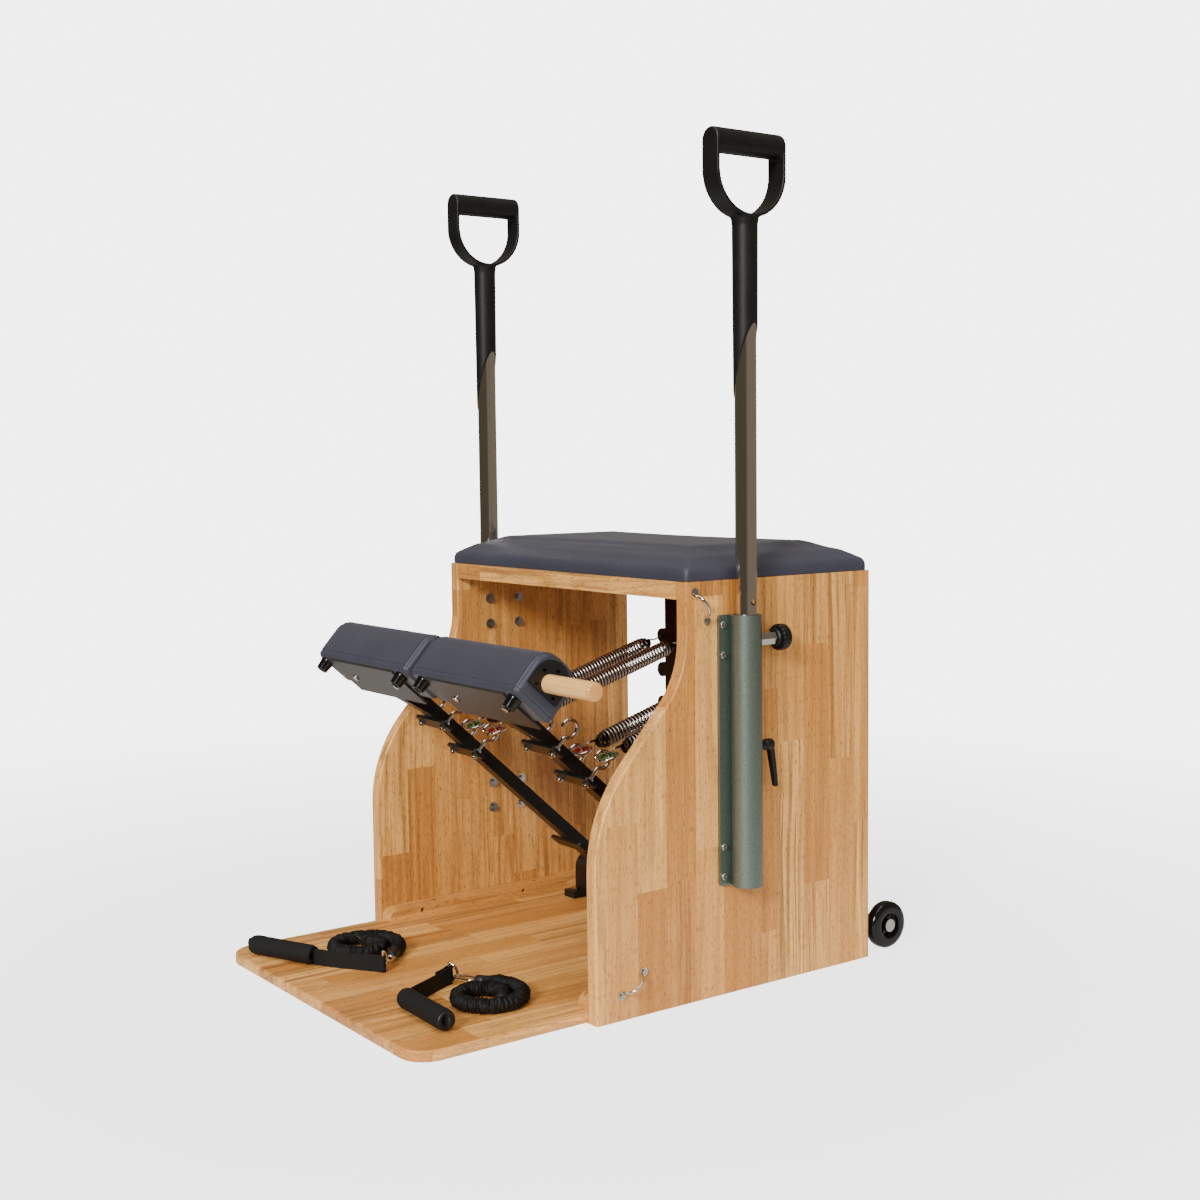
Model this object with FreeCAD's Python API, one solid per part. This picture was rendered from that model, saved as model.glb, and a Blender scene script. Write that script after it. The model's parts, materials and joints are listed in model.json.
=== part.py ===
import FreeCAD, Part
import math
import os

# Pilates chair in millimetres. +Z is up, the front is towards -Y, and the origin lies on the floor
# under the middle of the base board. Pieces on the right (+X) are built first and mirrored to the left.

# Wooden box
panel_height = 600.0
panel_thickness = 22.0
inner_width = 588.0
panel_depth = 521.0
panel_top_depth = 360.0
curve_drop = 80.0
curve_angle = 42.0
upper_curve_radius = 135.0
lower_curve_radius = 215.0
panel_round = 3.0
base_depth = 793.0
base_thickness = 16.0
base_corner_radius = 42.0
base_round = 3.0
rail_thickness = 22.0
rail_height = 25.0
cleat_width = 28.0
cleat_height = 20.0
cleat_setback = 4.0
cleat_nose_radius = 16.0
cleat_hole_diameter = 7.0
cleat_hole_first = 60.0
cleat_hole_pitch = 202.0
cleat_hole_count = 3
cut_overrun = 2.0

# Upholstered seat
seat_board_thickness = 12.0
seat_board_inset = 6.0
seat_band = 16.0
seat_crown = 33.0
seat_shoulder = 70.0
seat_draw = 2.5
soft_clearance = 0.3

# Post sleeves on the outside of the panels
sleeve_length = 390.0
sleeve_top_drop = 49.0
sleeve_diameter = 44.0
sleeve_bore = 37.0
sleeve_setback = 267.5
flange_width = 72.0
flange_thickness = 5.0
flange_bolt_spacing = 58.0
flange_bolt_end = 14.0
flange_bolt_pair = 43.0
bolt_diameter = 6.0
bolt_head_diameter = 11.0
bolt_head_height = 3.2
washer_diameter = 17.0
washer_thickness = 1.6
nut_diameter = 10.0
nut_height = 4.5

# Chromed posts, their guide bushes and their D handles
post_diameter = 31.0
post_wall = 1.6
post_length = 855.0
post_rise = 64.0
post_hole_diameter = 9.0
post_hole_pitch = 55.0
post_hole_count = 4
slide_clearance = 0.3
bush_length = 60.0
plunger_drop = 36.5
plunger_body_diameter = 20.0
plunger_body_length = 28.0
plunger_pin_diameter = 7.0
plunger_knob_diameter = 38.0
plunger_knob_length = 20.0
plunger_knob_gap = 2.0
clamp_drop_share = 0.48718
clamp_screw_diameter = 8.0
clamp_hub_diameter = 17.0
clamp_hub_length = 26.0
clamp_arm_length = 64.0
clamp_arm_width = 13.0
clamp_arm_tip_width = 9.0
clamp_arm_thickness = 9.0
clamp_arm_flare = 12.0
handle_web = 27.75
handle_cover = 226.0
handle_slant = 110.0
handle_slant_turn = -73.0
grip_bar_diameter = 35.0
grip_opening_radius = 57.75
grip_strap_width = 34.0
grip_strap_thickness = 5.0
grip_leg_height = 39.0
neck_diameter = 34.0
neck_top_diameter = 36.4
neck_seat_share = 0.7

# Pedal axle, pillow blocks and arms
pedal_slope = 42.0
axle_setback = 145.0
axle_height = 46.0
axle_diameter = 20.0
running_clearance = 0.05
block_offset = 58.0
block_width = 30.0
block_length = 104.0
block_foot_height = 12.0
block_housing_diameter = 56.0
block_bolt_spacing = 82.0
block_bolt_diameter = 8.0
block_bolt_head = 14.0
block_bolt_depth = 8.0
arm_share = 0.517
arm_reach = 633.0
arm_width = 25.0
arm_depth = 20.0
arm_wall = 2.5
arm_lift = 12.0
arm_gusset_length = 70.0
hub_diameter = 36.0
hub_length = 60.0
cross_plate_width = 86.0
cross_plate_length = 24.0
cross_plate_thickness = 5.0
lower_hook_share = 0.60348
hook_row_spacing = 77.0
foot_plate_reach = 112.0

# Pedal pads, their plates, bumpers and the locking dowel
pad_side_gap = 3.0
pad_gap = 8.0
pad_width = 79.5
pad_height = 85.0
pad_shoulder = 64.0
pad_corner_radius = 19.0
pad_end_round = 5.0
plate_share = 0.7247
plate_front = 8.0
plate_tail = 9.0
plate_thickness = 3.0
plate_screw_share = 0.4495
plate_screw_front = 49.0
screw_head_diameter = 11.0
screw_head_height = 3.0
bumper_share = 0.8293
bumper_front = 18.0
bumper_diameter = 22.0
bumper_tip_diameter = 18.0
bumper_length = 18.0
dowel_diameter = 26.0
dowel_front = 35.0
dowel_rise = 40.0
dowel_outside = 110.0
dowel_clearance = 0.5
dowel_round = 3.0
collar_width = 57.0
collar_drop = 17.0
collar_thickness = 5.0
collar_screw_diameter = 4.5
collar_screw_head = 1.2

# Spring hooks, rings, springs and rear spring posts
hook_spacing = 64.6
hook_wire = 6.2
hook_tail = 3.0
hook_loop_rise = 38.0
hook_loop_radius = 12.6
hook_opening_angle = 115.0
hook_nut_diameter = 11.5
hook_nut_height = 4.5
ring_radius = 14.0
ring_wire = 4.4
ring_offset = 10.3
insert_height = 5.0
insert_clearance = 0.2
insert_wall = 1.2
spring_diameter = 28.0
spring_wire = 3.0
spring_curls = 25
spring_hook_radius = 7.0
spring_hook_gap = 0.6
spring_lead = 14.0
spring_tip_radius = 5.0
spring_cone_curls = 2
spring_rear_wire = 34.0
spring_tail_rise = 9.0
spring_post_width = 46.0
spring_post_thickness = 6.0
spring_post_setback = 6.0
tab_height = 461.0
tab_pitch = 60.0
tab_count = 3
tab_radius = 13.0
tab_slot = 7.0

# Transport wheels
wheel_diameter = 73.0
wheel_width = 22.0
wheel_tread_round = 7.0
wheel_recess = 8.0
wheel_hub_inset = 6.0
wheel_rim_width = 17.5
wheel_axis_height = 41.0
wheel_overhang = 46.0
wheel_bolt_diameter = 8.0
wheel_bolt_head = 20.0
wheel_bolt_head_height = 5.0
wheel_side_gap = 1.0
bracket_thickness = 4.0
bracket_width = 34.0
bracket_grip = 60.0

# Wire eyes screwed to the outside of the panels
eye_span = 47.5
eye_wire = 4.4
eye_rise = 15.0
eye_pad_diameter = 12.0
eye_pad_thickness = 2.6
eye_upper_setback = 333.8
eye_upper_drop = 35.0
eye_upper_angle = -62.0
eye_lower_setback = 460.4
eye_lower_height = 49.2
eye_lower_angle = 35.0
eye_screw_diameter = 4.0
eye_screw_length = 14.0
eye_screw_head_diameter = 7.0
eye_screw_head_height = 2.0

# Bungee sets lying on the base board
grip_length = 118.0
grip_diameter = 30.0
strap_height = 25.0
strap_thickness = 3.0
d_ring_radius = 14.0
d_ring_wire = 4.0
link_radius = 7.0
link_length = 22.0
link_wire = 4.0
link_offset = 7.5
crimp_diameter = 15.0
crimp_length = 22.0
end_cap_length = 8.0
cord_diameter = 22.0
cord_loop_radius = 58.0
cord_loops = 1.15
cord_step = 28.0
cord_end_turn = 25.0
contact_gap = 0.3
left_coil_share = -0.483
left_coil_setback = 157.0
left_coil_start_angle = 46.0
left_grip_share = -0.449
left_grip_setback = 71.5
left_grip_angle = 202.7
right_coil_share = 0.5986
right_coil_setback = 180.9
right_coil_start_angle = 120.0
right_grip_share = 0.415
right_grip_setback = 82.5
right_grip_angle = -2.2

# Places worked out from the sizes above
X_AXIS = FreeCAD.Vector(1, 0, 0)
Y_AXIS = FreeCAD.Vector(0, 1, 0)
Z_AXIS = FreeCAD.Vector(0, 0, 1)
ORIGIN = FreeCAD.Vector(0, 0, 0)
inner_face = inner_width / 2
outer_face = inner_face + panel_thickness
base_rear = base_depth / 2
base_front = -base_rear
base_top = base_thickness
panel_front = base_rear - panel_depth
panel_top_front = base_rear - panel_top_depth
sleeve_x = outer_face + sleeve_diameter / 2
sleeve_y = base_rear - sleeve_setback
sleeve_top = panel_height - sleeve_top_drop
sleeve_bottom = sleeve_top - sleeve_length
post_bottom = sleeve_bottom + post_rise
post_top = post_bottom + post_length
plunger_z = sleeve_top - plunger_drop
clamp_z = sleeve_top - sleeve_length * clamp_drop_share
axle_y = base_rear - axle_setback
axle_z = base_top + axle_height
arm_x = inner_face * arm_share
arm_middle = arm_lift + arm_depth / 2
block_x = arm_x + block_offset
lower_hook_reach = arm_reach * lower_hook_share
upper_hook_reach = lower_hook_reach + hook_row_spacing
pad_inner_end = pad_gap / 2
pad_outer_end = inner_face - pad_side_gap
pad_length = pad_outer_end - pad_inner_end
plate_width = pad_length * plate_share
plate_screw_spacing = pad_length * plate_screw_share
bumper_spacing = pad_length * bumper_share
post_plate_y = base_rear - spring_post_setback
left_coil_place = (inner_face * left_coil_share, base_front + left_coil_setback)
left_grip_place = (inner_face * left_grip_share, base_front + left_grip_setback)
right_coil_place = (inner_face * right_coil_share, base_front + right_coil_setback)
right_grip_place = (inner_face * right_grip_share, base_front + right_grip_setback)


def vec(x, y, z):
    return FreeCAD.Vector(x, y, z)


def box(low, high):
    size = high.sub(low)
    return Part.makeBox(size.x, size.y, size.z, low)


def rod(radius, start, end):
    way = end.sub(start)
    return Part.makeCylinder(radius, way.Length, start, way)


def cone(start_radius, end_radius, start, end):
    way = end.sub(start)
    return Part.makeCone(start_radius, end_radius, way.Length, start, way)


def line(start, end):
    return Part.LineSegment(start, end).toShape()


def arc(start, middle, end):
    return Part.Arc(start, middle, end).toShape()


def prism(edges, way):
    return Part.Face(Part.Wire(Part.__sortEdges__(edges))).extrude(way)


def polygon_prism(points, way):
    return Part.Face(Part.makePolygon(points + points[:1])).extrude(way)


def fused(shapes):
    return shapes[0].multiFuse(shapes[1:]).removeSplitter()


def mirrored(shape):
    return shape.mirror(ORIGIN, X_AXIS)


def moved(shape, x, y, z):
    copy = shape.copy()
    copy.translate(vec(x, y, z))
    return copy


def group(shapes):
    return Part.makeCompound(shapes)


def both_sides(shape):
    return group([shape, mirrored(shape)])


def arc_edge(start, heading, end):
    chord = end.sub(start)
    way = FreeCAD.Vector(heading).normalize()
    along = chord.dot(way) / chord.Length
    bend = math.acos(max(-1.0, min(1.0, along)))
    if bend < 1e-6:
        return line(start, end)
    half_chord = chord.Length / 2
    corner = start.add(way.multiply(half_chord / math.cos(bend)))
    middle = start.add(end).multiply(1 / 2)
    rise = math.tan(bend / 2) / math.tan(bend)
    return arc(start, middle.add(corner.sub(middle).multiply(rise)), end)


def biarc(start, start_way, end, end_way):
    chord = end.sub(start)
    sum_way = start_way.add(end_way)
    spread = 2 * (1 - start_way.dot(end_way))
    reach = chord.dot(sum_way)
    if spread < 1e-9:
        arm = chord.dot(chord) / (4 * chord.dot(end_way))
    else:
        arm = (math.sqrt(reach * reach + spread * chord.dot(chord)) - reach) / spread
    first = start.add(FreeCAD.Vector(start_way).multiply(arm))
    second = end.sub(FreeCAD.Vector(end_way).multiply(arm))
    joint = first.add(second).multiply(1 / 2)
    return [arc_edge(start, start_way, joint), arc_edge(joint, second.sub(first), end)]


def path_edges(stations):
    edges = []
    for (start, start_way), (end, end_way) in zip(stations[:-1], stations[1:]):
        edges += biarc(start, start_way, end, end_way)
    return edges


def swept(edges, radius):
    wire = Part.Wire(edges)
    start = edges[0].valueAt(edges[0].FirstParameter)
    way = edges[0].tangentAt(edges[0].FirstParameter)
    profile = Part.Wire(Part.Circle(start, way, radius).toShape())
    return wire.makePipeShell([profile], True, False)


def least_self_gap(edges, diameter, samples_per_edge):
    points = []
    travelled = 0.0
    for edge in edges:
        for step in range(samples_per_edge):
            share = step / samples_per_edge
            at = edge.FirstParameter + share * (edge.LastParameter - edge.FirstParameter)
            points.append((travelled + share * edge.Length, edge.valueAt(at)))
        travelled += edge.Length
    least = travelled
    for index, (place, point) in enumerate(points):
        for other_place, other in points[index + 1:]:
            if other_place - place > math.pi * diameter:
                least = min(least, point.distanceToPoint(other))
    return least - diameter


def unit(x, y, z):
    return vec(x, y, z).normalize()


# Wooden box


def side_panel():
    slope = math.radians(curve_angle)
    recess = panel_top_front - panel_front
    bend_share = 1 - math.cos(slope)
    slant = (recess - (upper_curve_radius + lower_curve_radius) * bend_share) / math.sin(slope)
    start = vec(inner_face, panel_top_front, panel_height - curve_drop)
    upper_middle = start.add(vec(0, -upper_curve_radius * (1 - math.cos(slope / 2)),
                                 -upper_curve_radius * math.sin(slope / 2)))
    upper_end = start.add(vec(0, -upper_curve_radius * bend_share, -upper_curve_radius * math.sin(slope)))
    lower_start = upper_end.add(vec(0, -slant * math.sin(slope), -slant * math.cos(slope)))
    lower_end = lower_start.add(vec(0, -lower_curve_radius * bend_share,
                                    -lower_curve_radius * math.sin(slope)))
    lower_middle = lower_end.add(vec(0, lower_curve_radius * (1 - math.cos(slope / 2)),
                                     lower_curve_radius * math.sin(slope / 2)))
    top_front = vec(inner_face, panel_top_front, panel_height)
    top_rear = vec(inner_face, base_rear, panel_height)
    foot_rear = vec(inner_face, base_rear, 0)
    foot_front = vec(inner_face, panel_front, 0)
    edges = [
        line(top_front, start),
        arc(start, upper_middle, upper_end),
        line(upper_end, lower_start),
        arc(lower_start, lower_middle, lower_end),
        line(lower_end, foot_front),
        line(foot_front, foot_rear),
        line(foot_rear, top_rear),
        line(top_rear, top_front),
    ]
    panel = prism(edges, X_AXIS * panel_thickness)
    front_edges = []
    for edge in panel.Edges:
        bounds = edge.BoundBox
        flat = bounds.XLength < panel_round
        floor = bounds.ZMax < panel_round
        top = bounds.ZMin > panel_height - panel_round
        if flat and not floor and not top:
            front_edges.append(edge)
    panel = panel.makeFillet(panel_round, front_edges)
    for place in sleeve_bolt_places():
        hole = rod(bolt_diameter / 2, vec(inner_face - cut_overrun, place[0], place[1]),
                   vec(outer_face + cut_overrun, place[0], place[1]))
        panel = panel.cut(hole)
    return panel.cut(group(eye_screw_rods() + wheel_bracket_screw_rods()))


def base_board():
    board = box(vec(-inner_face, base_front, 0), vec(inner_face, base_rear, base_top))
    corners = [edge for edge in board.Edges
               if edge.BoundBox.ZLength > base_thickness / 2 and edge.BoundBox.YMax < 0]
    board = board.makeFillet(base_corner_radius, corners)
    front = board.common(box(vec(-inner_face, base_front, 0), vec(inner_face, panel_front, base_top)))
    rear = board.common(box(vec(-inner_face, panel_front, 0), vec(inner_face, base_rear, base_top)))
    rim = [edge for edge in front.Edges
           if edge.BoundBox.ZLength < base_round / 2 and edge.BoundBox.YMin < panel_front - base_round]
    front = front.makeFillet(base_round, rim)
    board = front.fuse(rear).removeSplitter()
    return board.cut(group(block_bolt_rods())).cut(both_sides(group(cleat_screw_rods())))


def rail(front_y):
    return box(vec(-inner_face, front_y, panel_height - rail_height),
               vec(inner_face, front_y + rail_thickness, panel_height))


def cleat():
    front = panel_front + cleat_setback
    top = base_top + cleat_height
    nose_share = 1 - math.sqrt(1 / 2)
    nose = cleat_nose_radius
    low_front = vec(inner_face - cleat_width, front, base_top)
    nose_start = low_front.add(vec(0, 0, cleat_height - nose))
    nose_middle = nose_start.add(vec(0, nose * nose_share, nose * (1 - nose_share)))
    nose_end = vec(inner_face - cleat_width, front + nose, top)
    rear_top = vec(inner_face - cleat_width, base_rear, top)
    rear_low = vec(inner_face - cleat_width, base_rear, base_top)
    edges = [
        line(low_front, nose_start),
        arc(nose_start, nose_middle, nose_end),
        line(nose_end, rear_top),
        line(rear_top, rear_low),
        line(rear_low, low_front),
    ]
    strip = prism(edges, X_AXIS * cleat_width)
    for index in range(cleat_hole_count):
        y = front + cleat_hole_first + index * cleat_hole_pitch
        z = base_top + cleat_height / 2
        side_hole = rod(cleat_hole_diameter / 2, vec(inner_face - cleat_width - cut_overrun, y, z),
                        vec(inner_face - cleat_width / 2, y, z))
        strip = strip.cut(side_hole)
    return strip.cut(group(cleat_screw_rods()))


def cleat_screw_places():
    front = panel_front + cleat_setback
    x = inner_face - cleat_width / 2
    offset = cleat_hole_first / 2
    return [vec(x, front + cleat_hole_first + offset + index * cleat_hole_pitch, base_top + cleat_height)
            for index in range(cleat_hole_count)]


def cleat_screw_rods():
    rods = []
    for place in cleat_screw_places():
        bottom = vec(place.x, place.y, base_top / 2)
        rods.append(rod(eye_screw_diameter / 2, bottom, place))
        rods.append(rod(eye_screw_head_diameter / 2, place.sub(Z_AXIS * eye_screw_head_height), place))
    return rods


def cleat_screws():
    rods = cleat_screw_rods()
    return [rods[index].fuse(rods[index + 1]).removeSplitter() for index in range(0, len(rods), 2)]


# Upholstered seat


def crown_profile(half_width, low, high, shoulder):
    band = low + seat_band
    draw = half_width - seat_draw
    crest = half_width - shoulder
    crest_z = high - seat_draw
    swell_share = 0.62
    swell = crest + shoulder * (1 - swell_share)
    swell_z = band + (high - band) * swell_share
    band_middle = low + seat_band / 2
    return [
        ("line", (-draw, low), (draw, low)),
        ("arc", (draw, low), (half_width, band_middle), (draw, band)),
        ("arc", (draw, band), (swell, swell_z), (crest, crest_z)),
        ("arc", (crest, crest_z), (0, high), (-crest, crest_z)),
        ("arc", (-crest, crest_z), (-swell, swell_z), (-draw, band)),
        ("arc", (-draw, band), (-half_width, band_middle), (-draw, low)),
    ]


def profile_edges(profile, place):
    edges = []
    for kind, *points in profile:
        spots = [place(*point) for point in points]
        edges.append(line(*spots) if kind == "line" else arc(*spots))
    return edges


def seat_cushion():
    middle_y = (panel_top_front + base_rear) / 2
    low = panel_height
    high = low + seat_band + seat_crown
    across = crown_profile(outer_face, low, high, seat_shoulder)
    along = crown_profile(panel_top_depth / 2, low, high, seat_shoulder)
    across_edges = profile_edges(across, lambda x, z: vec(x, panel_top_front, z))
    along_edges = profile_edges(along, lambda y, z: vec(-outer_face, middle_y + y, z))
    along_prism = prism(along_edges, X_AXIS * (2 * outer_face))
    cushion = prism(across_edges, Y_AXIS * panel_top_depth).common(along_prism)
    pocket = box(vec(-outer_face + seat_board_inset - soft_clearance,
                     panel_top_front + seat_board_inset - soft_clearance, low - cut_overrun),
                 vec(outer_face - seat_board_inset + soft_clearance,
                     base_rear - seat_board_inset + soft_clearance,
                     low + seat_board_thickness + soft_clearance))
    return cushion.cut(pocket)


def seat_board():
    return box(vec(-outer_face + seat_board_inset, panel_top_front + seat_board_inset, panel_height),
               vec(outer_face - seat_board_inset, base_rear - seat_board_inset,
                   panel_height + seat_board_thickness))


# Sleeves, posts and handles


def sleeve_bolt_places():
    places = []
    for y in (sleeve_y - flange_bolt_spacing / 2, sleeve_y + flange_bolt_spacing / 2):
        for drop in (flange_bolt_end, flange_bolt_end + flange_bolt_pair):
            places.append((y, sleeve_top - drop))
            places.append((y, sleeve_bottom + drop))
    return places


def plunger_axis(distance):
    return vec(sleeve_x, sleeve_y + distance, plunger_z)


def clamp_axis(distance):
    return vec(sleeve_x, sleeve_y + distance, clamp_z)


def side_bores():
    clamp_radius = clamp_screw_diameter / 2 + slide_clearance
    return [rod(plunger_body_diameter / 4, plunger_axis(0), plunger_axis(sleeve_diameter)),
            rod(clamp_radius, clamp_axis(0), clamp_axis(sleeve_diameter))]


def sleeve():
    bottom = vec(sleeve_x, sleeve_y, sleeve_bottom)
    top = vec(sleeve_x, sleeve_y, sleeve_top)
    flange = box(vec(outer_face, sleeve_y - flange_width / 2, sleeve_bottom),
                 vec(outer_face + flange_thickness, sleeve_y + flange_width / 2, sleeve_top))
    corners = [edge for edge in flange.Edges if edge.BoundBox.XLength > flange_thickness / 2]
    flange = flange.makeFillet(flange_thickness, corners)
    body = rod(sleeve_diameter / 2, bottom, top).fuse(flange).removeSplitter()
    body = body.cut(rod(sleeve_bore / 2, bottom.sub(Z_AXIS * cut_overrun), top.add(Z_AXIS * cut_overrun)))
    for y, z in sleeve_bolt_places():
        body = body.cut(rod(bolt_diameter / 2, vec(outer_face - cut_overrun, y, z),
                            vec(outer_face + flange_thickness + cut_overrun, y, z)))
    return body.cut(group(side_bores()))


def sleeve_bolts():
    bolts = []
    for y, z in sleeve_bolt_places():
        shank_end = vec(inner_face - washer_thickness - nut_height, y, z)
        seat = vec(outer_face + flange_thickness, y, z)
        shank = rod(bolt_diameter / 2, shank_end, seat)
        head = rod(bolt_head_diameter / 2, seat, seat.add(X_AXIS * bolt_head_height))
        rim = [edge for edge in head.Edges if edge.BoundBox.XMin > seat.x + bolt_head_height / 2]
        head = head.makeFillet(bolt_head_height / 2, rim)
        bolts.append(shank.fuse(head).removeSplitter())
    return bolts


def hexagon(radius, start, way):
    turn = FreeCAD.Rotation(Z_AXIS, way)
    points = []
    for index in range(6):
        angle = math.radians(60 * index)
        corner = turn.multVec(vec(radius * math.cos(angle), radius * math.sin(angle), 0))
        points.append(start.add(corner))
    return polygon_prism(points, way)


def sleeve_nuts():
    pieces = []
    for y, z in sleeve_bolt_places():
        face = vec(inner_face, y, z)
        under = face.sub(X_AXIS * washer_thickness)
        hole_end = under.sub(X_AXIS * (nut_height + cut_overrun))
        hole = rod(bolt_diameter / 2, face.add(X_AXIS * cut_overrun), hole_end)
        pieces.append(rod(washer_diameter / 2, face, under).cut(hole))
        pieces.append(hexagon(nut_diameter / 2, under, X_AXIS * -nut_height).cut(hole))
    return pieces


def post_bushes():
    bore = post_diameter / 2 + slide_clearance
    spans = [(sleeve_top - bush_length, sleeve_top), (clamp_z - bush_length / 2, clamp_z + bush_length / 2)]
    bushes = []
    for low, high in spans:
        start = vec(sleeve_x, sleeve_y, low)
        end = vec(sleeve_x, sleeve_y, high)
        bush = rod(sleeve_bore / 2, start, end).cut(rod(bore, start, end))
        bushes.append(bush.cut(group(side_bores())))
    return bushes


def post():
    start = vec(sleeve_x, sleeve_y, post_bottom)
    end = vec(sleeve_x, sleeve_y, post_top)
    tube = rod(post_diameter / 2, start, end).cut(rod(post_diameter / 2 - post_wall, start, end))
    for index in range(post_hole_count):
        z = plunger_z + (1 - index) * post_hole_pitch
        middle = vec(sleeve_x, sleeve_y, z)
        for way in (Y_AXIS, X_AXIS):
            tube = tube.cut(rod(post_hole_diameter / 2, middle, middle.add(way * post_diameter)))
    return tube


def plunger_body():
    start = plunger_axis(sleeve_diameter / 2)
    end = plunger_axis(sleeve_diameter / 2 + plunger_body_length)
    inside = plunger_axis(sleeve_bore / 2)
    sleeve_skin = rod(sleeve_diameter / 2, vec(sleeve_x, sleeve_y, sleeve_bottom),
                      vec(sleeve_x, sleeve_y, sleeve_top))
    seat = hexagon(plunger_body_diameter / 2, plunger_axis(0), end.sub(start)).cut(sleeve_skin)
    neck = rod(plunger_body_diameter / 4, inside, start)
    body = fused([seat, neck, hexagon(plunger_body_diameter / 2, start, end.sub(start))])
    bore = plunger_pin_diameter / 2 + running_clearance
    return body.cut(rod(bore, plunger_axis(0), end.add(Y_AXIS * cut_overrun)))


def plunger():
    tip = plunger_axis(post_diameter / 2 + slide_clearance)
    knob_start = plunger_axis(sleeve_diameter / 2 + plunger_body_length + plunger_knob_gap)
    knob_end = knob_start.add(Y_AXIS * plunger_knob_length)
    knob = rod(plunger_knob_diameter / 2, knob_start, knob_end)
    rim = [edge for edge in knob.Edges if edge.BoundBox.YMin > knob_end.y - plunger_knob_gap]
    knob = knob.makeFillet(plunger_knob_length / 5, rim)
    return knob.fuse(rod(plunger_pin_diameter / 2, tip, knob_start)).removeSplitter()


def clamp_lever():
    hub_start = clamp_axis(sleeve_diameter / 2 + contact_gap)
    hub_end = hub_start.add(Y_AXIS * clamp_hub_length)
    screw_tip = clamp_axis(post_diameter / 2 + slide_clearance)
    hub = rod(clamp_hub_diameter / 2, hub_start, hub_end)
    arm_start = hub_end.sub(Y_AXIS * clamp_arm_thickness)
    half = clamp_arm_width / 2
    tip_half = clamp_arm_tip_width / 2
    tip_low = arm_start.add(vec(0, clamp_arm_flare, -clamp_arm_length))
    rings = []
    for corner, reach in ((arm_start, half), (tip_low, tip_half)):
        far = corner.add(Y_AXIS * clamp_arm_thickness)
        across = X_AXIS * reach
        points = [corner.sub(across), corner.add(across), far.add(across), far.sub(across)]
        rings.append(Part.makePolygon(points + points[:1]))
    arm = Part.makeLoft(rings, True, True)
    screw = rod(clamp_screw_diameter / 2, screw_tip, hub_start)
    return fused([hub, arm, screw])


def grip_loop(centre_z, bar_z):
    left_x = sleeve_x - grip_strap_width / 2
    outer = grip_opening_radius + grip_strap_thickness

    def spot(across, z):
        return vec(left_x, sleeve_y + across, z)

    def lower_arc(radius):
        return Part.Arc(spot(-radius, centre_z), spot(0, centre_z - radius), spot(radius, centre_z)).toShape()

    inner = grip_opening_radius
    outline = [
        line(spot(-outer, bar_z), spot(-outer, centre_z)), lower_arc(outer),
        line(spot(outer, centre_z), spot(outer, bar_z)), line(spot(outer, bar_z), spot(inner, bar_z)),
        line(spot(inner, bar_z), spot(inner, centre_z)), lower_arc(inner),
        line(spot(-inner, centre_z), spot(-inner, bar_z)), line(spot(-inner, bar_z), spot(-outer, bar_z)),
    ]
    wire = Part.Wire(Part.__sortEdges__(outline))
    strap = Part.Face(wire).extrude(X_AXIS * grip_strap_width)
    bar_middle = vec(sleeve_x, sleeve_y, bar_z)
    bar = rod(grip_bar_diameter / 2, bar_middle.sub(Y_AXIS * outer), bar_middle.add(Y_AXIS * outer))
    return [strap, bar]


def handle():
    centre_z = post_top + handle_web + grip_opening_radius
    bar_z = centre_z + grip_leg_height
    tip_z = post_top - handle_cover
    low_z = tip_z - neck_diameter
    top_z = post_top + handle_web - grip_strap_thickness * (1 - neck_seat_share)
    neck_start = vec(sleeve_x, sleeve_y, low_z)
    neck = Part.makeCone(neck_diameter / 2, neck_top_diameter / 2, top_z - low_z, neck_start, Z_AXIS)
    solid = fused([neck] + grip_loop(centre_z, bar_z))
    socket_start = vec(sleeve_x, sleeve_y, low_z - cut_overrun)
    solid = solid.cut(rod(post_diameter / 2, socket_start, vec(sleeve_x, sleeve_y, post_top)))
    left_x = sleeve_x - neck_diameter
    front_y = sleeve_y - neck_diameter / 2 - cut_overrun
    rear_y = sleeve_y + neck_diameter / 2 + cut_overrun
    rise = handle_slant / neck_diameter * cut_overrun
    slant = polygon_prism([
        vec(left_x, front_y, tip_z - rise),
        vec(left_x, rear_y, tip_z + handle_slant + rise),
        vec(left_x, rear_y, low_z - cut_overrun),
        vec(left_x, front_y, low_z - cut_overrun)], X_AXIS * (2 * neck_diameter))
    slant.rotate(vec(sleeve_x, sleeve_y, 0), Z_AXIS, handle_slant_turn)
    return solid.cut(slant)


# Pedal pieces are drawn flat: X across, Y back along the arm from the pad's front edge, Z off the plate


def pedal_placed(shape):
    turn = FreeCAD.Rotation(X_AXIS, -pedal_slope)
    reach = turn.multVec(vec(0, arm_reach, arm_middle))
    corner = vec(0, axle_y, axle_z).sub(reach)
    copy = shape.copy()
    copy.Placement = FreeCAD.Placement(corner, turn).multiply(copy.Placement)
    return copy


def pedal_point(x, along, off):
    turn = FreeCAD.Rotation(X_AXIS, -pedal_slope)
    reach = turn.multVec(vec(0, arm_reach, arm_middle))
    return vec(0, axle_y, axle_z).sub(reach).add(turn.multVec(vec(x, along, off)))


def cross_plate(along):
    low = vec(arm_x - cross_plate_width / 2, along - cross_plate_length / 2, arm_lift - cross_plate_thickness)
    high = vec(arm_x + cross_plate_width / 2, along + cross_plate_length / 2, arm_lift)
    plate = box(low, high)
    corners = [edge for edge in plate.Edges if edge.BoundBox.ZLength > cross_plate_thickness / 2]
    return plate.makeFillet(cross_plate_length / 4, corners)


def hook_places():
    places = []
    for reach in (lower_hook_reach, upper_hook_reach):
        for side in (-1, 1):
            places.append((arm_x + side * hook_spacing / 2, arm_reach - reach))
    return places


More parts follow.
